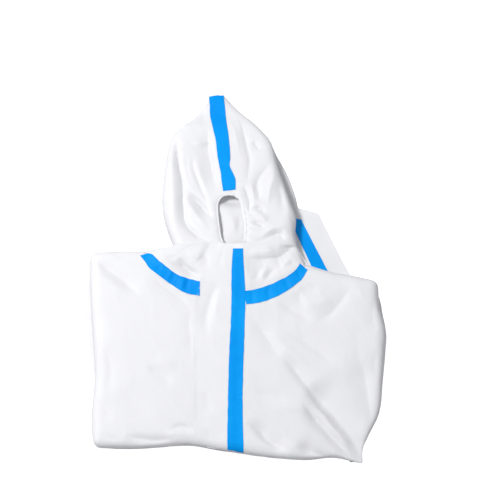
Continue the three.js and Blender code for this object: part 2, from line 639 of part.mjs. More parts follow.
// Seam tape over the hood's centre seam, from the face opening to the peak
const HOOD_TAPE = [
  { y: 152, half: 12 },
  { y: 180, half: 12.5 },
  { y: 207, half: 9.8 },
  { y: 230, half: 11.5 },
  { y: 296, half: 13.5 },
  { y: PEAK_Y, half: 13 },
];
function hoodTape() {
  const first = BASE_SHARES.length + HOOD_ROWS.findIndex((y) => y > OPENING_TOP);
  // The point of a grid's row at a given x, on the straight stretch between two columns.
  const across = (line, x) => {
    const k = line.findIndex((p, i) => i < line.length - 1 && (p.x - x) * (line[i + 1].x - x) <= 0);
    return line[k].clone().lerp(line[k + 1], (x - line[k].x) / (line[k + 1].x - line[k].x));
  };
  const bed = hood.left.slice(first).map((leftLine, i) => {
    const rightLine = hood.right[first + i];
    const { y } = leftLine[0];
    const half = (side) => min(read(HOOD_TAPE, "half", y), abs(hoodOut(side, y) - hoodSeam(y)) - 2);
    const top = leftLine.slice(UNDER.length);
    return [
      across(top, hoodSeam(y) - half(-1)),
      across(top, hoodSeam(y) - half(-1) / 2),
      across(top, hoodSeam(y) - SEAM_GAP),
      across(rightLine, hoodSeam(y) + half(1) / 2),
      across(rightLine, hoodSeam(y) + half(1)),
    ];
  });
  return layer(bed, normalsOf(bed), 4 * SEAM_GAP, TAPE);
}
add("tape_hood", hoodTape(), BLUE);

// Back shoulder past the right shoulder fold, sloping from that fold down to the surface, and its seam tape
const SHOULDER_ROWS = [
  { rise: 0.7, left: 139, tape: 141, tapeEnd: 171, right: 212, z: 22 },
  { rise: 20, left: 130, tape: 132, tapeEnd: 163, right: 202, z: 15 },
  { rise: 45, left: 122, tape: 124, tapeEnd: 151, right: 189, z: 8 },
  { rise: 70, left: 119, tape: 121, tapeEnd: 138, right: 176, z: 4 },
  { rise: 88, left: 121.5, tape: 123.5, tapeEnd: 128, right: 166, z: 2.5 },
  { rise: 108, left: 126, tape: 130, tapeEnd: 134, right: 155, z: 2 },
];
const SHOULDER_CLOTH = 2;
const shoulderBed = SHOULDER_ROWS.map(({ rise, left, tape, tapeEnd, right, z }) =>
  [left, tape, tapeEnd, mix(tapeEnd, right, 0.5), right].map(
    (x) => new THREE.Vector3(x, read(BODY_ENDS, "shoulder", x, "x") + rise, z),
  ),
);
const shoulderUnder = shoulderBed.map((line) => line.map((p) => p.clone().setZ(p.z - SHOULDER_CLOTH)));
add("shoulder_right", wall(shoulderBed, shoulderUnder));
const shoulderTapeBed = slice(shoulderBed, [0, 4], [1, 2]);
add("tape_shoulder_right", layer(shoulderTapeBed, normalsOf(shoulderTapeBed), SEAM_GAP, TAPE), BLUE);

// Sleeves folded behind: each a double layer with its own fold beside the body's side fold, in the layers' recess
const SLEEVE = { top: 16.2, bottom: 9.6, tuck: 14, droopShare: 0.3, mostDroop: 6 };
function sleeve(side, sideFold, rowsOut) {
  const levels = rowsOut.flatMap((row, k) => (k ? [(rowsOut[k - 1].y + row.y) / 2, row.y] : [row.y]));
  const profile = (y, wallIn) => {
    const out = read(rowsOut, "out", y);
    const droop = min(out * SLEEVE.droopShare, SLEEVE.mostDroop);
    const [top, bottom] = [SLEEVE.top - wallIn, SLEEVE.bottom + wallIn];
    const bend = mix(SLEEVE.tuck, -out, 0.6);
    return [
      { inset: SLEEVE.tuck, z: top },
      { inset: bend, z: top },
      { inset: 3 + wallIn / 2 - out, z: top - droop },
      { inset: wallIn - out, z: (top + bottom) / 2 - droop },
      { inset: 3 + wallIn / 2 - out, z: bottom - droop },
      { inset: bend, z: bottom },
      { inset: SLEEVE.tuck, z: bottom },
    ].map(({ inset, z }) => new THREE.Vector3(read(BODY_LINES, sideFold, y) - side * inset, y, z));
  };
  return wall(levels.map((y) => profile(y, 0)), levels.map((y) => profile(y, CLOTH)));
}
add("sleeve_left", sleeve(-1, "left", LEFT_SLEEVE));
add("sleeve_right", sleeve(1, "right", RIGHT_SLEEVE));

garment.updateMatrixWorld(true);
export default garment;
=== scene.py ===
import json
import math

import bpy
import numpy as np
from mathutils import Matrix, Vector
from mathutils.bvhtree import BVHTree

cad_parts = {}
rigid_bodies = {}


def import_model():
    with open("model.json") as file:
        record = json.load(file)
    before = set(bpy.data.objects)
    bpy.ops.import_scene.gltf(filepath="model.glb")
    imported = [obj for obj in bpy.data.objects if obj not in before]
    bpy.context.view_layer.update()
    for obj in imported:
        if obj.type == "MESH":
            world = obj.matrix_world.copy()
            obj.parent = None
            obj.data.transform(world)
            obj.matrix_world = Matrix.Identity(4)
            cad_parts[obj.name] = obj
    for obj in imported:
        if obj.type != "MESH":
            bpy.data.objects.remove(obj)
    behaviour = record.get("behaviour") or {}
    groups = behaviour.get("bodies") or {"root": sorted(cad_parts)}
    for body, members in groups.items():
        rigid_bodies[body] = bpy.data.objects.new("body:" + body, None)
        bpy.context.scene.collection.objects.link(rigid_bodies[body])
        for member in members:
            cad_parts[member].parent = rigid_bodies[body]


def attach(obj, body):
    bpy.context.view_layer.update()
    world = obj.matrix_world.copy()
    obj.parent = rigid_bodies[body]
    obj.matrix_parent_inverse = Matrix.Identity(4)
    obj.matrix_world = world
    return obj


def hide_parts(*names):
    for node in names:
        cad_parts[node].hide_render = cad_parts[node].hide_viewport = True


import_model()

bl_info = {
    "name": "Folded isolation coverall",
    "version": (1, 0, 0),
    "blender": (4, 5, 0),
    "location": "View3D > Sidebar > Coverall",
    "description": "A hooded coverall with taped seams, folded flat and lying on its back",
    "category": "Object",
}

# All lengths in the tables are millimetres in the part's frame: +X right, +Y to the hood's peak, +Z up.
MM = 0.001


def table(columns, *rows):
    """Rows of numbers under named columns."""
    values = np.array(rows, float)
    return {name: values[:, k] for k, name in enumerate(columns.split())}


# The folded body: its rounding at the folds, its outline, height and neck seam
RIM_Z = 18.0
FOLD_REACH = 24.0
FOLD_ARC = 36.0
FOLD_SQUARE = 2.9
CORNER_SQUARE = 4.5
CORNER = {"x": 233.0, "y": -345.0, "reach": 9.0, "spread": 56.0, "drop": 12.0}
HIDDEN_END = 38.0
BODY_LINES = table(
    "y left flap seam right",
    (-345, -246, -71, 5, 233),
    (-318, -248, -71, 5, 233),
    (-296, -251, -70, 5, 242),
    (-250, -252, -69, 5, 263),
    (-190, -247, -69, 5, 269),
    (-130, -249, -70, 6, 274),
    (-104, -251, -71, 7, 275),
    (-56, -254, -66, 9, 264),
    (-16, -256, -58, 10, 262),
    (46, -256, -48, 10, 262),
)
BODY_ENDS = table(
    "x bottom shoulder",
    (-256, -315, 45),
    (-170, -316, 47),
    (-76, -311, 46),
    (-7, -322, 42),
    (60, -332, 35),
    (124, -337, 24),
    (181, -333, 7),
    (221, -342, 0),
    (262, -350, -9),
)
BODY_HEIGHT = table("y z", (-330, 34), (-240, 38), (-120, 41), (0, 40), (46, 37))
NECK_SEAM = table(
    "x y",
    (-160, 34),
    (-130, 9),
    (-102, -13),
    (-80, -21),
    (-58, -27),
    (10, -47),
    (53, -38),
    (85, -25),
    (116, -5),
    (134, 16),
)

# The hood: side folds, centre seam, height, height of its side rims, and how far the back layer shows past the right
HOOD_START = 56.0
PEAK_Y = 342.0
HOOD_LINES = table(
    "y left right seam height rim peek",
    (56, -106, 117, 8, 45, 15, 0),
    (79, -115, 114, 4, 43, 14, 1),
    (110, -124, 119, 0, 40, 13, 5),
    (140, -127, 117, -4, 38, 13, 13),
    (178, -125, 106, -7, 36, 12, 15),
    (204, -122, 95, -12, 33, 11, 13),
    (230, -118, 80, -16, 29, 11, 4),
    (246, -114, 73, -17, 26, 10, 1),
    (260, -109, 65, -19, 24, 9, 0),
    (273, -101, 54, -21, 22, 8, 0),
    (285, -88, 43, -23, 20, 8, 0),
    (296, -72, 31, -26, 17, 7, 0),
    (310, -59, 14, -27, 15, 6, 0),
    (325, -48, -1, -28, 14, 5, 0),
    (PEAK_Y, -42, -15, -29, 12, 4, 0),
)
OPENING = {"low": 56.0, "bottom": 3.0, "arch": 122.0, "top": 147.0, "casing": 4.0}
FACE_OPENING = table(
    "y left right",
    (57, -14, 19),
    (70, -19, 21),
    (90, -22, 21),
    (110, -24, 19),
    (125, -25, 16),
    (147, -24, 14),
)

# Seam tapes, as their two edges. The neck's run outwards from the centre and the others down from the top.
CENTRE_TAPE = table(
    "x0 y0 x1 y1",
    (1, 46, 19, 46),
    (-1, 20, 20, 20),
    (-2, -10, 22, -10),
    (-2, -50, 23, -50),
    (-3, -90, 22, -90),
    (-6, -150, 20, -150),
    (-8, -230, 18, -230),
    (-9, -290, 19, -290),
    (-9, -325, 20, -330),
)
HOOD_TAPE = table(
    "x0 y0 x1 y1",
    (-42, 339, -16, 343),
    (-41, 320, -14, 322),
    (-40, 300, -12, 300),
    (-35, 276, -9, 276),
    (-30, 252, -6, 252),
    (-27, 222, -4, 222),
    (-24, 204, -5, 204),
    (-21, 189, 1, 189),
    (-20, 177, 5, 178),
    (-17, 155, 6, 158),
)
LEFT_NECK_TAPE = table(
    "x0 y0 x1 y1",
    (-58, -14, -59, -41),
    (-80, -8, -86, -34),
    (-102, 1, -112, -18),
    (-119, 14, -131, -4),
    (-133, 26, -149, 11),
    (-143, 36, -157, 23),
    (-152, 40, -166, 35),
)
RIGHT_NECK_TAPE = table(
    "x0 y0 x1 y1",
    (18, -32, 25, -56),
    (36, -30, 38, -55),
    (53, -25, 55, -51),
    (70, -19, 74, -44),
    (86, -11, 92, -35),
    (102, -2, 109, -23),
    (114, 8, 124, -10),
    (121, 20, 135, 8),
)

# Creases: a soft trough (or a ridge, where its depth is below 0) along a path. Its walls are the widths to the left
# and to the right of someone who walks along it.
FRONT_CREASES = {
    "long right, upper": {"path": [(34, -74), (48, -98), (74, -136), (98, -166)], "depth": 3.6, "walls": (9, 13)},
    "long right, middle": {"path": [(84, -146), (110, -176), (134, -206), (154, -234), (176, -264)], "depth": 7.5, "walls": (13, 7)},
    "long right, low": {"path": [(134, -204), (162, -236), (192, -272), (216, -306), (242, -346)], "depth": 26.0, "walls": (22, 11)},
    "beside it, ridge": {"path": [(56, -98), (84, -124), (116, -154), (150, -180)], "depth": -2.2, "walls": (7, 9)},
    "second right": {"path": [(96, -106), (128, -126), (166, -154), (186, -176)], "depth": 3.4, "walls": (16, 8)},
    "low ridge": {"path": [(60, -226), (100, -244), (140, -256), (176, -272)], "depth": -2.6, "walls": (9, 13)},
    "low hollow": {"path": [(24, -212), (52, -220), (86, -226), (112, -238)], "depth": 2.0, "walls": (11, 7)},
    "foot of the tape": {"path": [(24, -274), (44, -284), (62, -302), (84, -318), (104, -330)], "depth": 10.0, "walls": (12, 8)},
    "foot ridge": {"path": [(30, -290), (54, -306), (80, -324)], "depth": -2.0, "walls": (8, 9)},
    "bottom right": {"path": [(112, -308), (134, -322), (160, -331), (186, -336)], "depth": 12.0, "walls": (12, 8)},
    "corner slope": {"path": [(226, -150), (238, -200), (246, -250), (246, -300)], "depth": 7.0, "walls": (16, 26)},
    "corner, second": {"path": [(122, -236), (146, -262), (174, -294), (200, -322), (218, -342)], "depth": 15.0, "walls": (7, 9)},
    "corner ridge": {"path": [(132, -226), (160, -256), (186, -288), (212, -322)], "depth": -3.0, "walls": (5, 5)},
    "pouch, left": {"path": [(78, -50), (100, -62), (124, -76), (144, -94)], "depth": 4.2, "walls": (13, 9)},
    "pouch, right": {"path": [(214, -16), (203, -40), (176, -72), (142, -92)], "depth": 4.0, "walls": (9, 15)},
    "pouch top": {"path": [(118, -22), (136, -28), (160, -24)], "depth": 1.8, "walls": (9, 7)},
    "pouch crown": {"path": [(120, -44), (140, -56), (158, -54), (176, -38)], "depth": -2.4, "walls": (12, 12)},
    "beside the neck": {"path": [(124, -26), (120, -44), (132, -62)], "depth": 2.0, "walls": (7, 8)},
    "right shoulder": {"path": [(196, 0), (222, -20), (240, -56)], "depth": -1.6, "walls": (12, 12)},
    "right side, upper": {"path": [(256, -40), (252, -74), (258, -110)], "depth": 1.8, "walls": (8, 9)},
    "right side, lower": {"path": [(262, -130), (254, -170), (257, -214)], "depth": 2.2, "walls": (8, 10)},
    "right flank": {"path": [(214, -96), (226, -140), (222, -186)], "depth": 1.4, "walls": (16, 14)},
    "left shoulder": {"path": [(-248, 36), (-228, 14), (-206, -4), (-184, -22), (-164, -44)], "depth": 8.0, "walls": (13, 11)},
    "left shoulder ridge": {"path": [(-252, 10), (-226, -10), (-196, -30), (-176, -50)], "depth": -2.2, "walls": (11, 14)},
    "shoulder pleat": {"path": [(-216, 38), (-196, 37), (-178, 40)], "depth": 2.6, "walls": (3, 4)},
    "under the neck tape": {"path": [(-150, 0), (-118, -28), (-88, -50), (-74, -76)], "depth": 3.2, "walls": (13, 12)},
    "beside the flap": {"path": [(-76, -56), (-78, -90), (-74, -128), (-77, -160)], "depth": 1.8, "walls": (6, 12)},
    "left middle": {"path": [(-158, -168), (-136, -180), (-118, -194), (-104, -208)], "depth": 3.0, "walls": (12, 6)},
    "left middle, above": {"path": [(-140, -150), (-120, -164), (-100, -172)], "depth": -1.4, "walls": (10, 10)},
    "left side, upper": {"path": [(-236, -60), (-240, -96), (-234, -128)], "depth": 1.6, "walls": (9, 8)},
    "left side": {"path": [(-234, -130), (-222, -158), (-220, -196), (-228, -226)], "depth": 2.2, "walls": (10, 8)},
    "left side, low": {"path": [(-240, -230), (-226, -252), (-224, -276)], "depth": 1.6, "walls": (9, 9)},
    "left foot pleat": {"path": [(-114, -287), (-94, -280), (-78, -283), (-66, -290)], "depth": 3.2, "walls": (5, 11)},
    "left foot ridge": {"path": [(-120, -296), (-96, -292), (-74, -298)], "depth": -2.0, "walls": (6, 7)},
    "left bottom": {"path": [(-196, -294), (-168, -302), (-130, -304), (-96, -302)], "depth": 7.0, "walls": (6, 9)},
    "left bottom, outer": {"path": [(-244, -296), (-222, -300), (-196, -304)], "depth": 1.8, "walls": (6, 7)},
    "left wide": {"path": [(-196, -206), (-170, -240), (-150, -276)], "depth": 1.6, "walls": (20, 18)},
    "neck pucker 1": {"path": [(-126, 28), (-132, 14), (-141, 2)], "depth": 1.6, "walls": (4, 3)},
    "neck pucker 2": {"path": [(-102, 8), (-107, -8), (-115, -24)], "depth": 2.0, "walls": (3, 5)},
    "neck pucker 3": {"path": [(-88, -2), (-90, -18), (-94, -36)], "depth": -1.4, "walls": (4, 4)},
    "neck pucker 4": {"path": [(-80, -4), (-81, -20), (-84, -38)], "depth": 2.2, "walls": (3, 4)},
    "neck pucker 5": {"path": [(34, -26), (35, -44), (34, -62)], "depth": 1.2, "walls": (5, 4)},
    "neck pucker 6": {"path": [(60, -18), (64, -36), (66, -54)], "depth": 1.5, "walls": (5, 3)},
    "neck pucker 7": {"path": [(90, -2), (97, -18), (103, -34)], "depth": 1.6, "walls": (4, 4)},
    "neck pucker 8": {"path": [(110, 12), (119, -2), (128, -14)], "depth": 1.8, "walls": (4, 3)},
    "flap top": {"path": [(-14, -14), (-32, -30), (-40, -58), (-46, -92), (-45, -120)], "depth": 4.2, "walls": (6, 11)},
    "flap ridge": {"path": [(-24, -30), (-31, -58), (-34, -96)], "depth": -1.8, "walls": (8, 5)},
    "flap low": {"path": [(-40, -214), (-46, -236), (-38, -262)], "depth": 1.4, "walls": (9, 10)},
    "flap foot": {"path": [(-62, -292), (-36, -300), (-14, -310)], "depth": 2.0, "walls": (9, 7)},
}
HOOD_CREASES = {
    "left roll": {"path": [(-99, 268), (-99, 240), (-96, 215), (-91, 185), (-88, 158), (-88, 130), (-85, 102), (-76, 84), (-60, 71), (-34, 62)], "depth": 7.4, "walls": (4.5, 8)},
    "roll crown": {"path": [(-108, 250), (-110, 210), (-106, 160), (-104, 110), (-94, 76)], "depth": -3.0, "walls": (9, 10)},
    "deep diagonal": {"path": [(-89, 160), (-74, 147), (-58, 133), (-46, 118), (-35, 100)], "depth": 12.0, "walls": (4, 13)},
    "below it": {"path": [(-84, 134), (-70, 120), (-56, 100), (-44, 82)], "depth": -3.4, "walls": (10, 10)},
    "fine fold": {"path": [(-73, 232), (-71, 206), (-64, 182), (-56, 160), (-47, 139), (-40, 116)], "depth": 3.2, "walls": (3.5, 6)},
    "fine ridge": {"path": [(-64, 226), (-60, 196), (-50, 164), (-40, 138)], "depth": -1.8, "walls": (7, 5)},
    "second fine fold": {"path": [(-84, 236), (-82, 206), (-78, 182), (-70, 160)], "depth": 1.6, "walls": (4, 6)},
    "pocket fold": {"path": [(-76, 252), (-58, 249), (-42, 252), (-34, 256)], "depth": -3.0, "walls": (6, 4)},
    "pocket": {"path": [(-48, 282), (-44, 250), (-39, 215), (-33, 180), (-28, 150)], "depth": 9.0, "walls": (6, 24)},
    "crown, left": {"path": [(-52, 326), (-58, 310), (-72, 296), (-88, 280)], "depth": 2.6, "walls": (5, 4)},
    "crown hollow": {"path": [(-50, 318), (-52, 300), (-56, 280)], "depth": 2.6, "walls": (10, 10)},
    "right of the tape": {"path": [(12, 300), (20, 266), (28, 232), (31, 206), (27, 180), (24, 162)], "depth": 3.2, "walls": (7, 6)},
    "right crown": {"path": [(-6, 300), (4, 270), (10, 240), (12, 214)], "depth": -1.6, "walls": (8, 8)},
    "right spot": {"path": [(36, 256), (43, 244), (49, 230)], "depth": 3.2, "walls": (6, 7)},
    "right middle": {"path": [(72, 218), (62, 200), (50, 184), (42, 160), (40, 138)], "depth": 4.2, "walls": (6, 8)},
    "right wedge": {"path": [(50, 174), (47, 156), (46, 136)], "depth": 3.0, "walls": (5, 4)},
    "right ridge": {"path": [(76, 208), (72, 178), (66, 148), (62, 124)], "depth": -3.4, "walls": (8, 8)},
    "right flank": {"path": [(84, 190), (86, 160), (90, 130), (92, 106)], "depth": 3.2, "walls": (6, 7)},
    "right flank crown": {"path": [(94, 170), (100, 140), (104, 112)], "depth": -1.8, "walls": (6, 6)},
    "nape, right": {"path": [(104, 116), (110, 100), (116, 82)], "depth": 3.2, "walls": (5, 6)},
    "gather 1": {"path": [(18, 172), (25, 156), (30, 134), (31, 108)], "depth": 4.4, "walls": (3.5, 4.5)},
    "gather 2": {"path": [(10, 158), (17, 140), (24, 116)], "depth": -1.8, "walls": (3.5, 3.5)},
    "gather 3": {"path": [(32, 176), (37, 152), (38, 128)], "depth": -2.2, "walls": (5, 4)},
    "arch, dark core": {"path": [(36, 121), (45, 124), (54, 119), (58, 110)], "depth": 4.4, "walls": (3.5, 5)},
    "arch": {"path": [(36, 108), (46, 112), (56, 104), (61, 92)], "depth": -3.2, "walls": (4.5, 4.5)},
    "under the arch": {"path": [(34, 92), (44, 95), (53, 89), (57, 82)], "depth": 4.2, "walls": (3.5, 4)},
    "second arch": {"path": [(44, 64), (62, 76), (78, 85), (93, 83), (99, 68)], "depth": -3.8, "walls": (6, 5)},
    "second arch core": {"path": [(68, 66), (80, 74), (88, 72), (92, 60)], "depth": 4.6, "walls": (4, 6)},
    "lap": {"path": [(26, 61), (44, 61), (60, 64), (74, 73), (84, 84)], "depth": 2.8, "walls": (5, 3.5)},
    "hem band": {"path": [(22, 40), (44, 39), (64, 40), (82, 46)], "depth": -2.4, "walls": (9, 6)},
    "under the hem": {"path": [(22, 29), (44, 29), (64, 29), (80, 32), (98, 40)], "depth": 3.6, "walls": (2.6, 30)},
    "collar streak 1": {"path": [(50, 12), (46, 0), (38, -14)], "depth": 2.6, "walls": (4, 6)},
    "collar streak 2": {"path": [(80, 14), (70, 4), (60, -8), (54, -18)], "depth": 3.0, "walls": (6, 6)},
    "collar ridge": {"path": [(66, 16), (56, 4), (50, -10)], "depth": -2.0, "walls": (5, 5)},
    "nape hollow": {"path": [(120, 66), (104, 48), (84, 32), (72, 20)], "depth": 6.5, "walls": (11, 13)},
    "nape ridge": {"path": [(110, 34), (96, 22), (86, 8)], "depth": -2.6, "walls": (6, 6)},
    "chin, left": {"path": [(-98, 34), (-86, 16), (-70, 4), (-54, 0)], "depth": 12.0, "walls": (5, 13)},
    "chin lip": {"path": [(-82, 40), (-66, 30), (-50, 26)], "depth": -2.4, "walls": (7, 6)},
    "collar, left": {"path": [(-118, 36), (-104, 22), (-92, 8)], "depth": 2.2, "walls": (8, 7)},
    "flap head": {"path": [(-50, 44), (-47, 28), (-46, 8)], "depth": 2.2, "walls": (3, 6)},
    "left chin gathers": {"path": [(-54, 66), (-44, 58), (-30, 54), (-18, 58)], "depth": 3.0, "walls": (4, 4)},
}
LINING_CREASES = {
    "under the brow": {"path": [(-34, 141), (-12, 138), (10, 139), (34, 144)], "depth": 10.0, "walls": (16, 9)},
    "inside, left": {"path": [(-25, 132), (-22, 96), (-18, 62)], "depth": 6.5, "walls": (7, 5)},
    "inside, middle": {"path": [(-4, 118), (2, 96), (4, 72)], "depth": -2.4, "walls": (7, 6)},
    "inside, right": {"path": [(16, 120), (12, 98), (15, 74)], "depth": 2.0, "walls": (5, 5)},
}

# The plies below the front, from its fold down to the surface: how far in they lie at the ends and at the sides
PLIES = {
    "front_fold": {"top": 18.0, "bottom": 13.2, "ends": 0.0, "sides": 0.0, "tuck": 20.0, "wave": 0.0, "size": 60.0, "sides_thin": True},
    "back_ply": {"top": 12.9, "bottom": 8.4, "ends": 3.5, "sides": 17.0, "tuck": 16.0, "wave": 2.4, "size": 46.0, "sides_thin": False},
    "leg_ply": {"top": 8.3, "bottom": 4.4, "ends": 1.0, "sides": 1.5, "tuck": 18.0, "wave": 2.0, "size": 64.0, "sides_thin": False},
    "lower_leg_ply": {"top": 4.3, "bottom": 0.3, "ends": 2.0, "sides": 2.5, "tuck": 0.0, "wave": 1.6, "size": 52.0, "sides_thin": False},
}
SLEEVES = {
    "sleeve_left": {
        "side": -1,
        "out": table("y out", (-285, 0), (-185, 1), (-142, 5), (-100, 9), (-61, 12), (-10, 18), (30, 19)),
    },
    "sleeve_right": {
        "side": 1,
        "out": table("y out", (-240, 0), (-150, 1), (-104, 1), (-70, 3.5), (-50, 4), (-35, 1)),
    },
}
SHOULDER = table(
    "rise left tape tape_end right z",
    (0.7, 135, 142, 171, 212, 21.5),
    (20, 124, 133, 161, 202, 15),
    (45, 112, 121, 147, 189, 8.5),
    (70, 106, 110, 133, 176, 5),
    (88, 104, 104, 124, 166, 3.5),
    (108, 118, 118, 120, 155, 3),
)


def smooth(t):
    t = np.clip(t, 0, 1)
    return t * t * (3 - 2 * t)


def mix(a, b, t):
    return a + (b - a) * t


def read(rows, column, at, key="y"):
    """A column's value at a place along a table, on a curve that turns smoothly through its rows."""
    xs, ys = rows[key], rows[column]
    at = np.asarray(at, float)
    i = np.clip(np.searchsorted(xs, at, side="right") - 1, 0, len(xs) - 2)
    low, high = np.maximum(np.arange(len(xs)) - 1, 0), np.minimum(np.arange(len(xs)) + 1, len(xs) - 1)
    slope = (ys[high] - ys[low]) / (xs[high] - xs[low])
    step = xs[i + 1] - xs[i]
    t = np.clip((at - xs[i]) / step, 0, 1)
    hermite = (2 * t - 3) * t * t
    turn = step * t * (1 - t) * (slope[i] * (1 - t) - slope[i + 1] * t)
    return ys[i] * (1 + hermite) - ys[i + 1] * hermite + turn


def noise(x, y, size, seed):
    """Smooth noise between about -0.7 and 0.7 over a plane, with bumps of a given size."""
    rng = np.random.default_rng(seed)
    angle = rng.uniform(0, 2 * np.pi, (64, 64))
    u, v = np.asarray(x, float) / size + 31.3, np.asarray(y, float) / size + 17.7
    i, j = np.floor(u).astype(int), np.floor(v).astype(int)
    u, v = u - i, v - j

    def corner(di, dj):
        a = angle[(i + di) % 64, (j + dj) % 64]
        return np.cos(a) * (u - di) + np.sin(a) * (v - dj)

    fade_u, fade_v = smooth(u), smooth(v)
    return mix(mix(corner(0, 0), corner(1, 0), fade_u), mix(corner(0, 1), corner(1, 1), fade_u), fade_v)


def spline(path, steps=9):
    """A smooth curve through a few points."""
    p = np.array(path, float)
    p = np.vstack([2 * p[0] - p[1], p, 2 * p[-1] - p[-2]])
    t = np.linspace(0, 1, steps, endpoint=False)[:, None]
    out = []
    for a, b, c, d in zip(p[:-3], p[1:-2], p[2:-1], p[3:]):
        out.append(0.5 * (2 * b + (c - a) * t + (2 * a - 5 * b + 4 * c - d) * t**2 + (3 * b - a - 3 * c + d) * t**3))
    return np.vstack([*out, p[-2:-1]])


def relief(creases, x, y, strength=1.0):
    """How high the creases of a table stand at each place. Each dies away at both of its ends."""
    wander_x, wander_y = 2.2 * noise(x, y, 34, 5), 2.2 * noise(x, y, 29, 6)
    px, py = x + wander_x, y + wander_y
    height = np.zeros(np.shape(x))
    for crease in creases.values():
        points = spline(crease["path"])
        reach = 3 * max(crease["walls"])
        low, high = points.min(0) - reach, points.max(0) + reach
        near = (px > low[0]) & (px < high[0]) & (py > low[1]) & (py < high[1])
        if not near.any():
            continue
        start, along = points[:-1], np.diff(points, axis=0)
        length = np.hypot(*along.T)
        before = np.concatenate([[0], np.cumsum(length)])
        rx, ry = px[near][:, None] - start[:, 0], py[near][:, None] - start[:, 1]
        t = np.clip((rx * along[:, 0] + ry * along[:, 1]) / length**2, 0, 1)
        away = np.hypot(rx - t * along[:, 0], ry - t * along[:, 1])
        k = away.argmin(1)
        row = np.arange(len(k))
        travelled = before[k] + t[row, k] * length[k]
        left = along[k, 0] * ry[row, k] - along[k, 1] * rx[row, k] > 0
        width = np.where(left, *crease["walls"])
        fade = min(0.4 * before[-1], 45)
        ends = smooth(travelled / fade) * smooth((before[-1] - travelled) / fade)
        height[near] -= strength * crease["depth"] * ends * np.exp(-((away[row, k] / width) ** 1.25))
    return height


def crumple(x, y, amount, seed):
    """Faint wrinkles of crisp cloth: broad swells and fine, sharper ridges."""
    swell = noise(x, y, 88, seed) + 0.5 * noise(x, y, 41, seed + 1)
    along, across = 0.45 * (0.57 * x - 0.82 * y), 0.82 * x + 0.57 * y
    ridges = (1 - 2 * np.abs(noise(along, across, 33, seed + 2))) ** 3
    fine = (1 - 2 * np.abs(noise(x, y, 17, seed + 3))) ** 3
    return amount * (0.9 * swell + 0.42 * ridges + 0.16 * fine)


# The folded body's surface
LINES = ("left", None, "flap", "tape_left", "seam", "tape_right", None, "right")
TAPE_HALF = 13.5


def body_lines(y, reach):
    """X of the lines that run down the front, from the left fold's flat to the right fold's."""
    seam = read(BODY_LINES, "seam", y)
    neck = np.full(np.shape(y), NECK_SEAM["x"][0]), np.full(np.shape(y), NECK_SEAM["x"][-1])
    left, right = read(BODY_LINES, "left", y) + reach, read(BODY_LINES, "right", y) - reach
    flap = read(BODY_LINES, "flap", y)
    return np.stack([left, neck[0], flap, seam - TAPE_HALF, seam, seam + TAPE_HALF, neck[1], right])


def corner_near(x, y, spread):
    return np.hypot(x - CORNER["x"], y - CORNER["y"]) / spread


def body_height(x, y, strength, amount):
    flat = read(BODY_HEIGHT, "z", y) - CORNER["drop"] * smooth(1 - corner_near(x, y, CORNER["spread"]))
    room = flat - RIM_Z - 0.5
    moved = relief(FRONT_CREASES, x, y, strength) + crumple(x, y, amount, 11)
    return flat + np.where(moved < 0, -room * (1 - np.exp(np.minimum(moved, 0) / room)), moved)


def reach_at(x, y):
    return mix(FOLD_REACH, CORNER["reach"], smooth(1.4 - corner_near(x, y, 45)))


def turn_of(length):
    return np.where(length < FOLD_ARC, np.cos(np.minimum(length / FOLD_ARC, 1) * np.pi / 2), 0)


def cloth_length(distance):
    round_ = np.arccos(np.clip(1 - distance / FOLD_REACH, -1, 1)) * 2 * FOLD_ARC / np.pi
    return np.where(distance < FOLD_REACH, round_, FOLD_ARC + distance - FOLD_REACH)


def distance_in(length):
    round_ = FOLD_REACH * (1 - np.cos(length / FOLD_ARC * np.pi / 2))
    return np.where(length < FOLD_ARC, round_, FOLD_REACH + length - FOLD_ARC)


def far_out(a, b):
    """How far out a place lies over two folds that meet in a corner: 1 at the outline, whose corner is tight."""
    return (a**CORNER_SQUARE + b**CORNER_SQUARE) ** (1 / CORNER_SQUARE)


def crown(a, b=0.0):
    """Height share over a fold, from 0 at its rim to 1 at its flat, a little squarer than a circle."""
    return np.maximum(0, 1 - far_out(a, b) ** FOLD_SQUARE) ** (1 / FOLD_SQUARE)


def front_end(x):
    """Cloth length from the shoulder fold at which the front ends: 0 at the shoulders, the neck seam between."""
    inside = np.minimum(x - NECK_SEAM["x"][0], NECK_SEAM["x"][-1] - x)
    length = cloth_length(read(BODY_ENDS, "shoulder", x, "x") - read(NECK_SEAM, "y", x, "x"))
    return length * smooth(inside / 7)


BOTTOM, FRONT, END, HIDDEN = range(4)


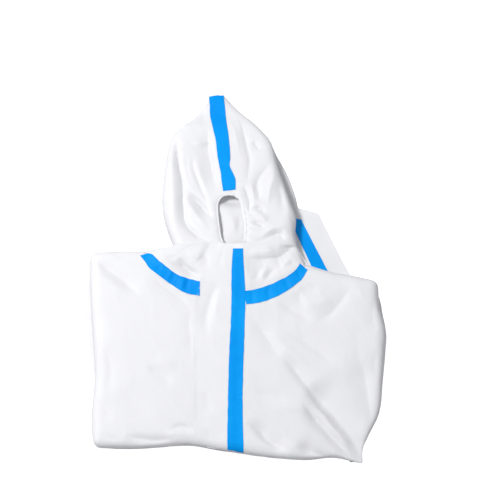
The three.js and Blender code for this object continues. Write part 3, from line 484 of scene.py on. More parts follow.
def body_grid(columns, rows, strength, amount):
    """Points of the folded body. A column is (side, length or place among the lines), a row (part, length or share)."""
    side, place = np.array(columns, float).T
    part, value = (v[:, None] for v in np.array(rows, float).T)
    over_side = np.where(side != 0, turn_of(place), 0)[None, :]
    line = np.clip(place.astype(int), 0, len(LINES) - 2)
    share = place - line
    x, y = np.zeros((len(rows), len(columns))), np.full((len(rows), len(columns)), -150.0)
    for _ in range(8):
        reach = reach_at(x, y)
        bottom, shoulder = read(BODY_ENDS, "bottom", x, "x"), read(BODY_ENDS, "shoulder", x, "x")
        end = front_end(x)
        last_flat = shoulder - distance_in(end + HIDDEN_END)
        from_top = np.where(part == END, end + value, end * (1 - value))
        over = np.where(part == BOTTOM, turn_of(value), np.where(part == FRONT, 0, turn_of(from_top)))
        pull = np.maximum(over_side, over) / np.maximum(far_out(over_side, over), 1e-9)
        a, b = over_side * pull, over * pull
        top = np.where(b > 0, shoulder - reach * (1 - b), shoulder - distance_in(from_top))
        front = mix(bottom + reach, last_flat, value)
        y = np.where(part == BOTTOM, bottom + reach * (1 - b), np.where(part == FRONT, front, top))
        lines = body_lines(y, reach)
        left, right = read(BODY_LINES, "left", y), read(BODY_LINES, "right", y)
        low, high = np.take_along_axis(lines, line[None, None, :] + np.zeros((1, len(rows), 1), int), 0)[0], None
        high = np.take_along_axis(lines, line[None, None, :] + np.ones((1, len(rows), 1), int), 0)[0]
        flat = mix(low, high, share[None, :])
        x = np.where(side < 0, left + reach * (1 - a), np.where(side > 0, right - reach * (1 - a), flat))
    z = RIM_Z + (body_height(x, y, strength, amount) - RIM_Z) * crown(a, b)
    return np.stack([x, y, z], -1)


def body_columns(step, first, last):
    """Columns of the body between two of its lines, and the side fold beside them where one is named."""
    widths = (72, 90, 62, 13.5, 13.5, 114, 106)
    edge = np.linspace(0, FOLD_ARC, max(4, round(FOLD_ARC / step / 1.1)) + 1)[:-1]
    columns = [(-1, length) for length in edge] if first == "left" else []
    begin, end = 0 if first == "left" else first, len(widths) if last == "right" else last
    for k in range(begin, end):
        parts = max(2, round(widths[k] / step))
        columns += [(0, k + j / parts) for j in range(parts)]
    columns.append((0, end - 1e-9) if end == len(widths) else (0, float(end)))
    if last == "right":
        columns += [(1, length) for length in edge[::-1]]
    return columns


def body_rows(step, hidden=False):
    edge = np.linspace(0, FOLD_ARC, max(4, round(FOLD_ARC / step / 1.1)) + 1)
    parts = round(275 / step)
    rows = [(BOTTOM, length) for length in edge] + [(FRONT, k / parts) for k in range(1, parts)]
    rows += [(END, length) for length in np.linspace(HIDDEN_END, 0, round(HIDDEN_END / step) + 1)]
    if hidden:
        rows += [(HIDDEN, share) for share in np.linspace(0, 1, round(80 / step) + 1)[1:]]
    return rows


def body_top(x, y, strength, amount):
    reach = reach_at(x, y)
    across = np.minimum(x - read(BODY_LINES, "left", y), read(BODY_LINES, "right", y) - x)
    bottom, shoulder = read(BODY_ENDS, "bottom", x, "x"), read(BODY_ENDS, "shoulder", x, "x")
    along = np.minimum(y - bottom, shoulder - y)
    a, b = 1 - np.clip(across / reach, 0, 1), 1 - np.clip(along / reach, 0, 1)
    return RIM_Z + (body_height(x, y, strength, amount) - RIM_Z) * crown(a, b)


# The hood's surface
def hood_out(side, y):
    if side < 0:
        return read(HOOD_LINES, "left", y)
    return read(HOOD_LINES, "right", y) - read(HOOD_LINES, "peek", y)


def hood_seam(y):
    return np.where(y < HOOD_START, read(BODY_LINES, "seam", y), read(HOOD_LINES, "seam", y))


def open_share(y):
    """How far the face opening stands open at a height: 0 below and above it, 1 between."""
    low = np.sqrt(np.clip(1 - (1 - (y - OPENING["low"]) / OPENING["bottom"]) ** 2, 0, 1))
    rise = (y - OPENING["arch"]) / (OPENING["top"] - OPENING["arch"])
    high = np.clip(1 - np.maximum(rise, 0) ** 3, 0, 1) ** 0.4
    return np.where(y <= OPENING["low"], 0, np.where(y < OPENING["low"] + OPENING["bottom"], low, high))


def opening_edge(side, y, out=0.0):
    edge = read(FACE_OPENING, "left" if side < 0 else "right", y) + side * out
    return mix(hood_seam(y), edge, open_share(y))


def puckers(side, x, y, height):
    """Gathers round the elastic of the face opening, uneven, and stronger on the right."""
    out = side * (x - opening_edge(side, y))
    in_reach = np.exp(-((np.maximum(out, 0) / (19 if side > 0 else 13)) ** 2)) * smooth((y - 46) / 14) * smooth((188 - y) / 26)
    phase = 2 * np.pi * (y + 7 * noise(y, 0 * y, 23, 8) + 0.35 * side * out) / 13.5
    uneven = 0.55 + 0.9 * noise(y, 0 * y + 40, 19, 9)
    return height * (1.0 if side > 0 else 0.45) * in_reach * uneven * np.sin(phase)


def hood_top(side, x, y, settings):
    rim = read(HOOD_LINES, "rim", y)
    reach = np.minimum(26, 0.7 * rim + 14)
    inset = side * (hood_out(side, y) - x)
    a = 1 - np.clip(inset / reach, 0, 1)
    lip = 3.0 * np.exp(-((np.maximum(side * (x - opening_edge(side, y)), 0) / 7) ** 2)) * open_share(y)
    height = read(HOOD_LINES, "height", y) + relief(HOOD_CREASES, x, y, settings.crease_strength)
    height = height + crumple(x, y, settings.crumple * 1000, 31) + puckers(side, x, y, settings.pucker * 1000) - lip
    return rim + (np.maximum(height, rim + 1) - rim) * crown(a)


def hood_grid(side, settings, step):
    """A hood panel: rows over the bundle from the neck seam, then rows up to the peak. Columns run left to right."""
    flat = np.linspace(0, 1, round(116 / step) + 1)
    edge = np.linspace(0, 1, max(5, round(26 / step)) + 1)[1:]
    under = np.array([(1.5, 0.45), (5, 0.06), (12, 0.03)])

    def line(y):
        inner, out = opening_edge(side, y, OPENING["casing"]), hood_out(side, y)
        reach = np.minimum(26, 0.7 * read(HOOD_LINES, "rim", y) + 14)
        last = out - side * np.minimum(reach, np.abs(out - inner) * 0.45)
        x = np.concatenate([mix(inner, last, flat), mix(last, out, np.sin(edge * np.pi / 2))])
        z = hood_top(side, x, np.full_like(x, y), settings)
        z[-1] = read(HOOD_LINES, "rim", y)
        x = np.concatenate([x, out - side * under[:, 0]])
        z = np.concatenate([z, np.maximum(1.2, under[:, 1] * read(HOOD_LINES, "rim", y))])
        return np.stack([x, np.full_like(x, y), z], -1)

    above = line(HOOD_START)
    count = len(above)
    neck_end = NECK_SEAM["x"][0 if side < 0 else -1]
    shares = np.concatenate([flat * 0.96, 0.96 + 0.035 * np.linspace(0, 1, count - len(flat) + 1)[1:]])
    seam_x = read(BODY_LINES, "seam", read(NECK_SEAM, "y", 10, "x"))
    neck_x = mix(seam_x, neck_end, shares)
    neck_y = read(BODY_ENDS, "shoulder", neck_x, "x") - distance_in(front_end(neck_x))
    neck_z = body_top(neck_x, neck_y, settings.crease_strength, settings.crumple * 1000)
    rows = []
    for share in np.linspace(0, 1, round(104 / step) + 1)[:-1]:
        y = mix(neck_y, HOOD_START, share)
        target = mix(hood_seam(y), above[len(flat) - 1, 0], np.minimum(shares / 0.96, 1))
        target = np.where(np.arange(count) < len(flat), target, above[:, 0])
        x = mix(neck_x, target, share)
        lift = 3.0 * smooth(share * 3)
        crossing = relief(HOOD_CREASES, x, y, settings.crease_strength) + crumple(x, y, settings.crumple * 1000, 31)
        base = mix(neck_z, above[:, 2], share)
        floor = body_top(x, y, settings.crease_strength, settings.crumple * 1000) + lift
        z = np.maximum(base, floor) + crossing * smooth(share * 6) * (1 - smooth((share - 0.85) / 0.15))
        rows.append(np.stack([x, y, z], -1))
    levels = np.concatenate([
        np.arange(HOOD_START, 62, 1.0),
        np.arange(62, 126, step),
        np.arange(126, OPENING["top"] + 1, 1.3),
        np.linspace(OPENING["top"] + 1.5, PEAK_Y, round((PEAK_Y - OPENING["top"]) / step)),
    ])
    grid = np.array(rows + [line(y) for y in levels])
    closing = grid[-1] * (1, 1, 0.5), grid[-1] * (1, 1, 0) + (0, 0.3, 0.9)
    grid = np.concatenate([grid, closing])
    return grid if side > 0 else grid[:, ::-1]


# Meshes
def normals_of(grid):
    across = np.gradient(grid, axis=1)
    up = np.gradient(grid, axis=0)
    n = np.cross(across, up)
    return n / np.maximum(np.linalg.norm(n, axis=-1, keepdims=True), 1e-9)


def faces_of(height, width, offset=0, turned=False, wrap=False):
    r, c = np.meshgrid(np.arange(height - 1), np.arange(width if wrap else width - 1), indexing="ij")
    nxt = (c + 1) % width
    quad = np.stack([r * width + c, r * width + nxt, (r + 1) * width + nxt, (r + 1) * width + c], -1).reshape(-1, 4)
    return (quad[:, ::-1] if turned else quad) + offset


def mesh_object(name, points, quads, material, uv=None, sharp=55):
    name += "_cloth"
    mesh = bpy.data.meshes.new(name)
    mesh.vertices.add(len(points))
    mesh.vertices.foreach_set("co", (points * MM).astype(np.float32).ravel())
    mesh.loops.add(quads.size)
    mesh.loops.foreach_set("vertex_index", quads.astype(np.int32).ravel())
    mesh.polygons.add(len(quads))
    mesh.polygons.foreach_set("loop_start", np.arange(0, quads.size, 4, dtype=np.int32))
    mesh.update(calc_edges=True)
    mesh.validate()
    layer = mesh.uv_layers.new(name="cloth")
    uv = points[:, :2] if uv is None else uv
    corner = np.zeros(len(mesh.loops), np.int32)
    mesh.loops.foreach_get("vertex_index", corner)
    layer.data.foreach_set("uv", (uv[corner] * MM).astype(np.float32).ravel())
    mesh.shade_smooth()
    mesh.set_sharp_from_angle(angle=math.radians(sharp))
    mesh.materials.append(material)
    made = bpy.data.objects.new(name, mesh)
    bpy.context.scene.collection.objects.link(made)
    return made


def flat_lengths(grid):
    """Cloth coordinates of a grid's points: lengths along its rows and columns, from its middle ones."""
    across = np.linalg.norm(np.diff(grid[len(grid) // 2], axis=0), axis=-1)
    up = np.linalg.norm(np.diff(grid[:, grid.shape[1] // 2], axis=0), axis=-1)
    u, v = np.concatenate([[0], np.cumsum(across)]), np.concatenate([[0], np.cumsum(up)])
    return np.stack(np.meshgrid(u, v), -1).reshape(-1, 2)


def sheet_object(name, grid, material, thickness=None):
    """Cloth over a grid: one layer, or closed round with a thickness."""
    height, width = grid.shape[:2]
    outer, uv = grid.reshape(-1, 3), flat_lengths(grid)
    quads = faces_of(height, width)
    if thickness is None:
        return mesh_object(name, outer, quads, material, uv)
    inner = (grid - normals_of(grid) * thickness).reshape(-1, 3)
    n = height * width
    ring = [r * width + c for r, c in border(height, width)]
    ring = np.array(ring)
    nxt = np.roll(ring, -1)
    rim = np.stack([ring, ring + n, nxt + n, nxt], -1)
    quads = np.vstack([quads, faces_of(height, width, n, turned=True), rim])
    return mesh_object(name, np.vstack([outer, inner]), quads, material, np.vstack([uv, uv]))


def border(height, width):
    """Places round a grid, counter-clockwise seen from above."""
    return (
        [(0, c) for c in range(width)]
        + [(r, width - 1) for r in range(1, height)]
        + [(height - 1, c) for c in range(width - 2, -1, -1)]
        + [(r, 0) for r in range(height - 2, 0, -1)]
    )


def piece(name):
    """A piece that an earlier step made."""
    return bpy.data.objects[name + "_cloth"]


def lay(grid, lift):
    """A grid moved out from what it lies on, along its own normals."""
    return grid + normals_of(grid) * (lift[..., None] if np.ndim(lift) else lift)


class Bed:
    """What a tape or flap is laid on: finds the height of the pieces below a place."""

    def __init__(self, *pieces):
        points, polygons = [], []
        for piece in pieces:
            start = len(points)
            points += [v.co[:] for v in piece.data.vertices]
            polygons += [[start + i for i in p.vertices] for p in piece.data.polygons]
        self.tree = BVHTree.FromPolygons(points, polygons)

    def height(self, x, y):
        out = np.zeros(np.shape(x))
        for place in np.ndindex(out.shape):
            hit = self.tree.ray_cast(Vector((x[place] * MM, y[place] * MM, 0.2)), Vector((0, 0, -1)))[0]
            out[place] = hit.z / MM if hit else np.nan
        for line in out:
            known = ~np.isnan(line)
            if known.any() and not known.all():
                line[~known] = np.interp(np.flatnonzero(~known), np.flatnonzero(known), line[known])
        return out


def soften(z, passes):
    """A strip's heights, evened out along and across it without sinking below where they were by much."""
    for _ in range(passes):
        padded = np.pad(z, 1, mode="edge")
        z = 0.5 * z + 0.125 * (padded[:-2, 1:-1] + padded[2:, 1:-1] + padded[1:-1, :-2] + padded[1:-1, 2:])
    return z


def strip(edges, bed, lift, step, across=13, passes=2, wrinkle=0.0, seed=0):
    """A tape over a bed: a grid between two edges, laid on what is below it."""
    first, second = (spline(list(zip(edges["x" + k], edges["y" + k])), 12) for k in "01")
    length = np.concatenate([[0], np.cumsum(np.hypot(*np.diff((first + second) / 2, axis=0).T))])
    at = np.linspace(0, length[-1], max(8, round(length[-1] / step)) + 1)
    edge = [np.stack([np.interp(at, length, e[:, k]) for k in (0, 1)], -1) for e in (first, second)]
    for k, sign in ((0, 1), (1, -1)):
        way = (edge[1] - edge[0]) / np.linalg.norm(edge[1] - edge[0], axis=1, keepdims=True)
        edge[k] = edge[k] + sign * way * (0.9 * wrinkle * noise(at, 0 * at + 50 * k, 13, seed + 5))[:, None]
    t = np.linspace(0, 1, across)[None, :, None]
    flat = mix(edge[0][:, None], edge[1][:, None], t)
    flat[..., 1] = np.maximum(flat[..., 1], read(BODY_ENDS, "bottom", flat[..., 0], "x") + 0.4)
    below = bed.height(flat[..., 0], flat[..., 1])
    z = np.maximum(soften(below, passes), below)
    if wrinkle:
        s = at[:, None] + 2.5 * noise(at[:, None], flat[..., 0], 21, seed)
        bands = (1 - 2 * np.abs(noise(s, 0.3 * flat[..., 0], 9, seed + 1))) ** 4
        ripple = noise(at[:, None], 3 + 0.5 * flat[..., 0], 15, seed + 2)
        gate = smooth(1.4 * noise(at, 0 * at, 33, seed + 3) + 0.45)[:, None]
        z = z + wrinkle * (0.6 * np.maximum(bands, 0) * gate + np.maximum(ripple + 0.25, 0))
    grid = np.concatenate([flat, z[..., None]], -1)
    return lay(grid if normals_of(grid)[..., 2].mean() > 0 else grid[:, ::-1], lift)


# Materials
def socket(tree, name, kind, output=False, default=None):
    made = tree.interface.new_socket(name, in_out="OUTPUT" if output else "INPUT", socket_type=kind)
    if default is not None:
        made.default_value = default
    return made


def crumple_group():
    """Shader group: the relief of a nonwoven laminate, in metres, from an embossed dot pattern and soft creasing."""
    tree = bpy.data.node_groups.new("Nonwoven relief", "ShaderNodeTree")
    socket(tree, "Vector", "NodeSocketVector")
    socket(tree, "Dot Size", "NodeSocketFloat", default=0.0016)
    socket(tree, "Crease Size", "NodeSocketFloat", default=0.03)
    socket(tree, "Height", "NodeSocketFloat", output=True)
    socket(tree, "Tone Share", "NodeSocketFloat", output=True)
    nodes, links = tree.nodes, tree.links
    enter, leave = nodes.new("NodeGroupInput"), nodes.new("NodeGroupOutput")

    def inverse(name):
        node = nodes.new("ShaderNodeMath")
        node.operation = "DIVIDE"
        node.inputs[0].default_value = 1
        links.new(enter.outputs[name], node.inputs[1])
        return node.outputs[0]

    dots = nodes.new("ShaderNodeTexVoronoi")
    links.new(enter.outputs["Vector"], dots.inputs["Vector"])
    links.new(inverse("Dot Size"), dots.inputs["Scale"])
    creasing = nodes.new("ShaderNodeTexNoise")
    creasing.inputs["Detail"].default_value = 3
    creasing.inputs["Distortion"].default_value = 0.6
    links.new(enter.outputs["Vector"], creasing.inputs["Vector"])
    links.new(inverse("Crease Size"), creasing.inputs["Scale"])
    ridge = nodes.new("ShaderNodeMath")
    ridge.operation = "PINGPONG"
    ridge.inputs[1].default_value = 0.5
    links.new(creasing.outputs[0], ridge.inputs[0])
    total = nodes.new("ShaderNodeMath")
    total.operation = "MULTIPLY_ADD"
    total.inputs[1].default_value = 0.035
    links.new(dots.outputs["Distance"], total.inputs[0])
    links.new(ridge.outputs[0], total.inputs[2])
    links.new(total.outputs[0], leave.inputs["Height"])
    links.new(creasing.outputs[0], leave.inputs["Tone Share"])
    return tree


def film_group():
    """Shader group: fine cross wrinkles of a heat-bonded film, and its tone: a faint random mottle, darker where the
    wrinkles' relief is low as painted shade.
    """
    tree = bpy.data.node_groups.new("Film wrinkles", "ShaderNodeTree")
    socket(tree, "Vector", "NodeSocketVector")
    socket(tree, "Size", "NodeSocketFloat", default=0.01)
    socket(tree, "Height", "NodeSocketFloat", output=True)
    socket(tree, "Tone Share", "NodeSocketFloat", output=True)
    nodes, links = tree.nodes, tree.links
    enter, leave = nodes.new("NodeGroupInput"), nodes.new("NodeGroupOutput")
    inverse = nodes.new("ShaderNodeMath")
    inverse.operation = "DIVIDE"
    inverse.inputs[0].default_value = 1
    links.new(enter.outputs["Size"], inverse.inputs[1])
    bumps = nodes.new("ShaderNodeTexNoise")
    bumps.inputs["Detail"].default_value = 4
    bumps.inputs["Distortion"].default_value = 0.4
    links.new(enter.outputs["Vector"], bumps.inputs["Vector"])
    links.new(inverse.outputs[0], bumps.inputs["Scale"])
    broad = nodes.new("ShaderNodeTexNoise")
    broad.inputs["Scale"].default_value = 7
    broad.inputs["Detail"].default_value = 1
    links.new(enter.outputs["Vector"], broad.inputs["Vector"])
    # Tone: painted shade, darker where the wrinkles' relief is low, plus a broad random mottle
    mottle_and_painted_shade = nodes.new("ShaderNodeMath")
    mottle_and_painted_shade.operation = "MULTIPLY_ADD"
    mottle_and_painted_shade.inputs[1].default_value = 0.45
    links.new(bumps.outputs[0], mottle_and_painted_shade.inputs[0])
    stretched = nodes.new("ShaderNodeMapRange")
    stretched.inputs["From Min"].default_value = 0.35
    stretched.inputs["From Max"].default_value = 0.65
    stretched.inputs["To Max"].default_value = 0.55
    links.new(broad.outputs[0], stretched.inputs["Value"])
    links.new(stretched.outputs[0], mottle_and_painted_shade.inputs[2])
    links.new(bumps.outputs[0], leave.inputs["Height"])
    links.new(mottle_and_painted_shade.outputs[0], leave.inputs["Tone Share"])
    return tree


def material_of(name, group, sizes, look, translucent=0.0):
    """A material whose colour and relief come from a shader group, and whose fixed values sit on the shader."""
    material = bpy.data.materials.new(name)
    material.use_nodes = True
    nodes, links = material.node_tree.nodes, material.node_tree.links
    shader = nodes["Principled BSDF"]
    for key in ("Roughness", "Specular IOR Level", "Sheen Weight", "Sheen Roughness", "Coat Weight", "Coat Roughness"):
        if key in look:
            shader.inputs[key].default_value = look[key]
    place = nodes.new("ShaderNodeTexCoord")
    effect = nodes.new("ShaderNodeGroup")
    effect.node_tree = group
    links.new(place.outputs["Object"], effect.inputs["Vector"])
    for key, value in sizes.items():
        effect.inputs[key].default_value = value
    tone = nodes.new("ShaderNodeMix")
    tone.data_type = "RGBA"
    tone.inputs["A"].default_value = (*look["dark"], 1)
    tone.inputs["B"].default_value = (*look["light"], 1)
    links.new(effect.outputs["Tone Share"], tone.inputs["Factor"])
    links.new(tone.outputs["Result"], shader.inputs["Base Color"])
    bump = nodes.new("ShaderNodeBump")
    bump.inputs["Strength"].default_value = look["bump"]
    bump.inputs["Distance"].default_value = look["distance"]
    links.new(effect.outputs["Height"], bump.inputs["Height"])
    links.new(bump.outputs["Normal"], shader.inputs["Normal"])
    if translucent:
        through = nodes.new("ShaderNodeBsdfTranslucent")
        through.inputs["Color"].default_value = (*look["light"], 1)
        blend = nodes.new("ShaderNodeMixShader")
        blend.inputs[0].default_value = translucent
        links.new(shader.outputs[0], blend.inputs[1])
        links.new(through.outputs[0], blend.inputs[2])
        links.new(blend.outputs[0], nodes["Material Output"].inputs["Surface"])
    return material


def materials():
    settings = bpy.context.scene.coverall
    if "white_nonwoven" in bpy.data.materials:
        return bpy.data.materials["white_nonwoven"], bpy.data.materials["blue_film"], bpy.data.materials["white_elastic"]
    nonwoven, film = crumple_group(), film_group()
    white = tuple(settings.cloth_colour)
    dim = tuple(c * 0.985 for c in white)
    blue = tuple(settings.tape_colour)
    deep = (blue[0] * 0.6, blue[1] * 0.72, blue[2] * 0.9)
    cloth_look = {
        "Roughness": 0.62, "Specular IOR Level": 0.32, "Sheen Weight": 0.08, "Sheen Roughness": 0.5,
        "light": white, "dark": dim, "bump": 0.35, "distance": 0.0011,
    }
    cloth = material_of("white_nonwoven", nonwoven, {"Dot Size": 0.0016, "Crease Size": 0.03}, cloth_look, 0.28)
    elastic_look = {**cloth_look, "bump": 0.5, "distance": 0.0008}
    elastic = material_of("white_elastic", nonwoven, {"Dot Size": 0.0012, "Crease Size": 0.008}, elastic_look, 0.22)
    # The tape's deeper blue marks its random mottle and, as painted shade, the low places of its wrinkles
    tape_look = {
        "Roughness": 0.5, "Specular IOR Level": 0.05,
        "light": blue, "dark": deep, "bump": 0.6, "distance": 0.0016,
    }
    tape = material_of("blue_film", film, {"Size": 0.015}, tape_look)
    return cloth, tape, elastic


def place(made, slot, *nodes):
    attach(made, "root")
    if nodes:
        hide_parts(*nodes)
    return made


def step_of(settings):
    return settings.spacing * 1000 * 1


class CoverallSettings(bpy.types.PropertyGroup):
    spacing: bpy.props.FloatProperty(
        name="Spacing", description="Distance between neighbouring points of the cloth", default=0.0024, min=0.001,
        max=0.01, unit="LENGTH", subtype="DISTANCE",
    )
    crease_strength: bpy.props.FloatProperty(
        name="Crease strength", description="Share of the main creases' depth", default=1.0, min=0, max=2, subtype="FACTOR",
    )
    crumple: bpy.props.FloatProperty(
        name="Crumple", description="Height of the faint wrinkles all over", default=0.0009, min=0, max=0.01,
        unit="LENGTH", subtype="DISTANCE",
    )
    pucker: bpy.props.FloatProperty(
        name="Pucker", description="Height of the gathers round the face opening", default=0.0014, min=0, max=0.01,
        unit="LENGTH", subtype="DISTANCE",
    )
    flap_thickness: bpy.props.FloatProperty(
        name="Flap thickness", description="Thickness of the doubled storm flap", default=0.0009, min=0.0002, max=0.005,
        unit="LENGTH", subtype="DISTANCE",
    )
    tape_thickness: bpy.props.FloatProperty(
        name="Tape thickness", description="Thickness of a seam tape", default=0.00035, min=0.0001, max=0.002,
        unit="LENGTH", subtype="DISTANCE",
    )
    stitch_pitch: bpy.props.FloatProperty(
        name="Stitch pitch", description="Distance between two stitches", default=0.0035, min=0.001, max=0.02,
        unit="LENGTH", subtype="DISTANCE",
    )
    cloth_colour: bpy.props.FloatVectorProperty(
        name="Cloth colour", description="Colour of the white nonwoven", default=(0.80, 0.80, 0.825), min=0, max=1,
        size=3, subtype="COLOR",
    )
    tape_colour: bpy.props.FloatVectorProperty(
        name="Tape colour", description="Colour of the seam tape", default=(0.001, 0.278, 0.71), min=0, max=1,
        size=3, subtype="COLOR",
    )


class COVERALL_OT_front(bpy.types.Operator):
    """Makes the two front panels, round the bundle's folds and up to the neck seam"""

    bl_idname = "coverall.front"
    bl_label = "Front panels"

    def execute(self, context):
        settings = context.scene.coverall
        cloth = materials()[0]
        step = step_of(settings)
        rows = body_rows(step)
        for name, first, last in (("front_left", "left", 4), ("front_right", 4, "right")):
            columns = body_columns(step, first, last)
            grid = body_grid(columns, rows, settings.crease_strength, settings.crumple * 1000)
            made = place(sheet_object(name, grid, cloth), "white_cloth", name)
        return {"FINISHED"}


class COVERALL_OT_hood(bpy.types.Operator):
    """Makes the two hood panels, the hood's back layer and what shows of it inside the face opening"""

    bl_idname = "coverall.hood"
    bl_label = "Hood"

    def execute(self, context):
        settings = context.scene.coverall
        cloth = materials()[0]
        step = step_of(settings) * 0.88
        for name, side in (("hood_left", -1), ("hood_right", 1)):
            made = place(sheet_object(name, hood_grid(side, settings, step), cloth), "white_cloth", name)
        back = place(sheet_object("hood_back", self.back(settings), cloth), "white_cloth", "hood_left")
        return {"FINISHED"}

    def back(self, settings):
        """The back layer: round its own side folds, flat outside and pushed up in soft folds under the face opening."""
        step = step_of(settings) * 1.3
        levels = np.arange(30, PEAK_Y - 1, step)
        across = np.linspace(-1, 1, round(240 / step))
        y = np.repeat(levels[:, None], len(across), 1)
        left = read(HOOD_LINES, "left", y) + 4
        right = read(HOOD_LINES, "right", y)
        s = across[None, :]
        x = mix(left, right, (np.sin(s * np.pi / 2) * 0.35 + s * 0.65 + 1) / 2)
        inset = np.minimum(x - left, right - x)
        rim = 2.6 + 1.4 * noise(x, y, 26, 61)
        edge = np.sqrt(np.clip(1 - (1 - np.clip(inset / 7, 0, 1)) ** 2, 0, 1))
        puff = 31 * np.exp(-(((x + 1) / 62) ** 4) - ((y - 92) / 71) ** 4)
        z = 0.6 + rim * edge + puff * smooth(inset / 30) + relief(LINING_CREASES, x, y) + 0.8 * noise(x, y, 34, 62) * smooth(inset / 12)
        return np.stack([x, y, np.maximum(z, 0.5)], -1)


class COVERALL_OT_casing(bpy.types.Operator):
    """Makes the gathered elastic casing round the face opening"""

    bl_idname = "coverall.casing"
    bl_label = "Face casing"

    def execute(self, context):
        settings = context.scene.coverall
        elastic = materials()[2]
        bed = Bed(piece("hood_left"), piece("hood_right"))
        path, side = self.path()
        length = np.concatenate([[0], np.cumsum(np.hypot(*np.diff(path, axis=0).T))])
        at = np.linspace(0, length[-1], round(length[-1] / (1.2)))
        x, y = (np.interp(at, length, path[:, k]) for k in (0, 1))
        along = np.gradient(np.stack([x, y], -1), axis=0)
        along /= np.linalg.norm(along, axis=1, keepdims=True)
        out = np.stack([-along[:, 1], along[:, 0]], -1)
        z = bed.height((x + out[:, 0] * 6)[None, :], (y + out[:, 1] * 6)[None, :])[0] - 1.5
        z = np.convolve(np.pad(z, 4, mode="edge"), np.ones(9) / 9, mode="valid")
        angle = np.linspace(1.6 * np.pi, -0.45 * np.pi, 17)
        gathers = 0.5 * np.sin(2 * np.pi * (at + 4 * noise(at, 0 * at, 23, 71)) / 11) + 0.8 * noise(at, 0 * at + 9, 14, 72)
        right = smooth((x - read(HOOD_LINES, "seam", y)) / 20 + 0.5)
        radius = (mix(1.0, 2.1, right) + mix(0.2, 0.6, right) * gathers)[:, None]
        wide = 1.45 * radius * np.cos(angle)
        tall = 0.8 * radius * np.sin(angle)
        centre = np.stack([x + out[:, 0] * 2.4, y + out[:, 1] * 2.4, z], -1)
        ring = centre[:, None] + np.concatenate([out, 0 * x[:, None]], 1)[:, None] * wide[..., None]
        ring[..., 2] += tall + 0.5 * noise(at, 0 * at + 5, 12, 73)[:, None]
        made = place(sheet_object("face_casing", ring, elastic), "white_cloth", "face_casing")
        return {"FINISHED"}

    def path(self):
        y = np.concatenate([np.arange(60, 126, 3), OPENING["arch"] + 25 * np.sin(np.linspace(0.17, np.pi / 2, 14))])
        left, right = opening_edge(-1, y), opening_edge(1, y)
        up, down = np.stack([left, y], -1), np.stack([right, y], -1)[::-1]
        return np.vstack([up, down[1:]]), None


class COVERALL_OT_flap(bpy.types.Operator):
    """Lays the storm flap over the left panel's inner edge and the hood's base"""

    bl_idname = "coverall.flap"
    bl_label = "Storm flap"

    def execute(self, context):
        settings = context.scene.coverall
        cloth = materials()[0]
        step = step_of(settings) * 1.1
        bed = Bed(*(piece(n) for n in ("front_left", "hood_left", "hood_right", "front_right")))
        levels = np.concatenate([np.linspace(-326, -300, 9)[:-1], np.arange(-300, 48, step)])
        across = np.linspace(0, 1, round(72 / step) + 1)
        y = np.repeat(levels[:, None], len(across), 1)
        left = read(BODY_LINES, "flap", y)
        x = mix(left, read(BODY_LINES, "seam", y) + 3, across[None, :])
        bottom = read(BODY_ENDS, "bottom", x, "x")
        y = np.maximum(y, bottom + 0.6 + 0.02 * (y + 330))
        below = bed.height(x, y)
        taper = smooth((read(BODY_LINES, "seam", y) + 3 - x) / 9)
        z = np.maximum(soften(below, 3), below)
        edge_curl = 1.1 * np.exp(-((x - left) / 2.5) ** 2) * (0.5 + noise(y, x * 0, 40, 81))
        lift = mix(0.12, settings.flap_thickness * 1000 + 0.25, taper)
        grid = lay(np.stack([x, y, z + edge_curl], -1), lift)
        thickness = (mix(0.08, settings.flap_thickness * 1000, taper))[..., None]
        made = place(sheet_object("storm_flap", grid, cloth, thickness), "white_cloth", "storm_flap")
        return {"FINISHED"}


class COVERALL_OT_tapes(bpy.types.Operator):
    """Bonds the seam tapes down the front, over the hood and round the neck"""

    bl_idname = "coverall.tapes"
    bl_label = "Seam tapes"

    def execute(self, context):
        settings = context.scene.coverall
        film = materials()[1]
        step = step_of(settings) * 0.75
        names = ("front_left", "front_right", "hood_left", "hood_right", "storm_flap", "shoulder_right")
        thick = settings.tape_thickness * 1000
        jobs = (
            ("tape_centre_front", CENTRE_TAPE, 0.7, 7, (0.026, 0.39)),
            ("tape_hood", HOOD_TAPE, 0.6, 17, (0.025, 0.21)),
            ("tape_neck_left", LEFT_NECK_TAPE, 1.3, 27, (0.026, 0.12)),
            ("tape_neck_right", RIGHT_NECK_TAPE, 0.9, 37, (0.026, 0.125)),
        )
        pieces = [piece(n) for n in names]
        for name, edges, wrinkle, seed, flat in jobs:
            bed = Bed(*pieces)
            grid = strip(edges, bed, 0.25 + thick, step, wrinkle=wrinkle, seed=seed)
            made = place(sheet_object(name, grid, film, thick), "blue_tape", name)
            pieces.append(made)
        return {"FINISHED"}


class COVERALL_OT_shoulder(bpy.types.Operator):
    """Makes the back shoulder that shows past the right shoulder fold, with its seam tape"""

    bl_idname = "coverall.shoulder"
    bl_label = "Back shoulder"

    def execute(self, context):
        settings = context.scene.coverall
        cloth, film, _ = materials()
        step = step_of(settings)
        grid = self.bed("left", "right", round(70 / step), round(108 / step))
        made = place(sheet_object("shoulder_right", grid, cloth, 0.5), "white_cloth", "shoulder_right")
        grid = self.bed("tape", "tape_end", 10, round(90 / step), 87)
        grid[..., 2] += 0.6
        made = place(sheet_object("tape_shoulder_right", grid, film, 0.35), "blue_tape", "tape_shoulder_right")
        return {"FINISHED"}

    def bed(self, first, last, across, up, top=108):
        rise = np.linspace(SHOULDER["rise"][0], top, up + 1)
        t = np.linspace(0, 1, across + 1)
        x = mix(read(SHOULDER, first, rise, "rise")[:, None], read(SHOULDER, last, rise, "rise")[:, None], t)
        y = read(BODY_ENDS, "shoulder", x, "x") + rise[:, None]
        z = read(SHOULDER, "z", rise, "rise")[:, None] + 0 * x
        z = z + 0.7 * noise(x, y, 30, 91) + 0.9 * noise(x, y, 55, 92)
        return np.stack([x, y, z], -1)


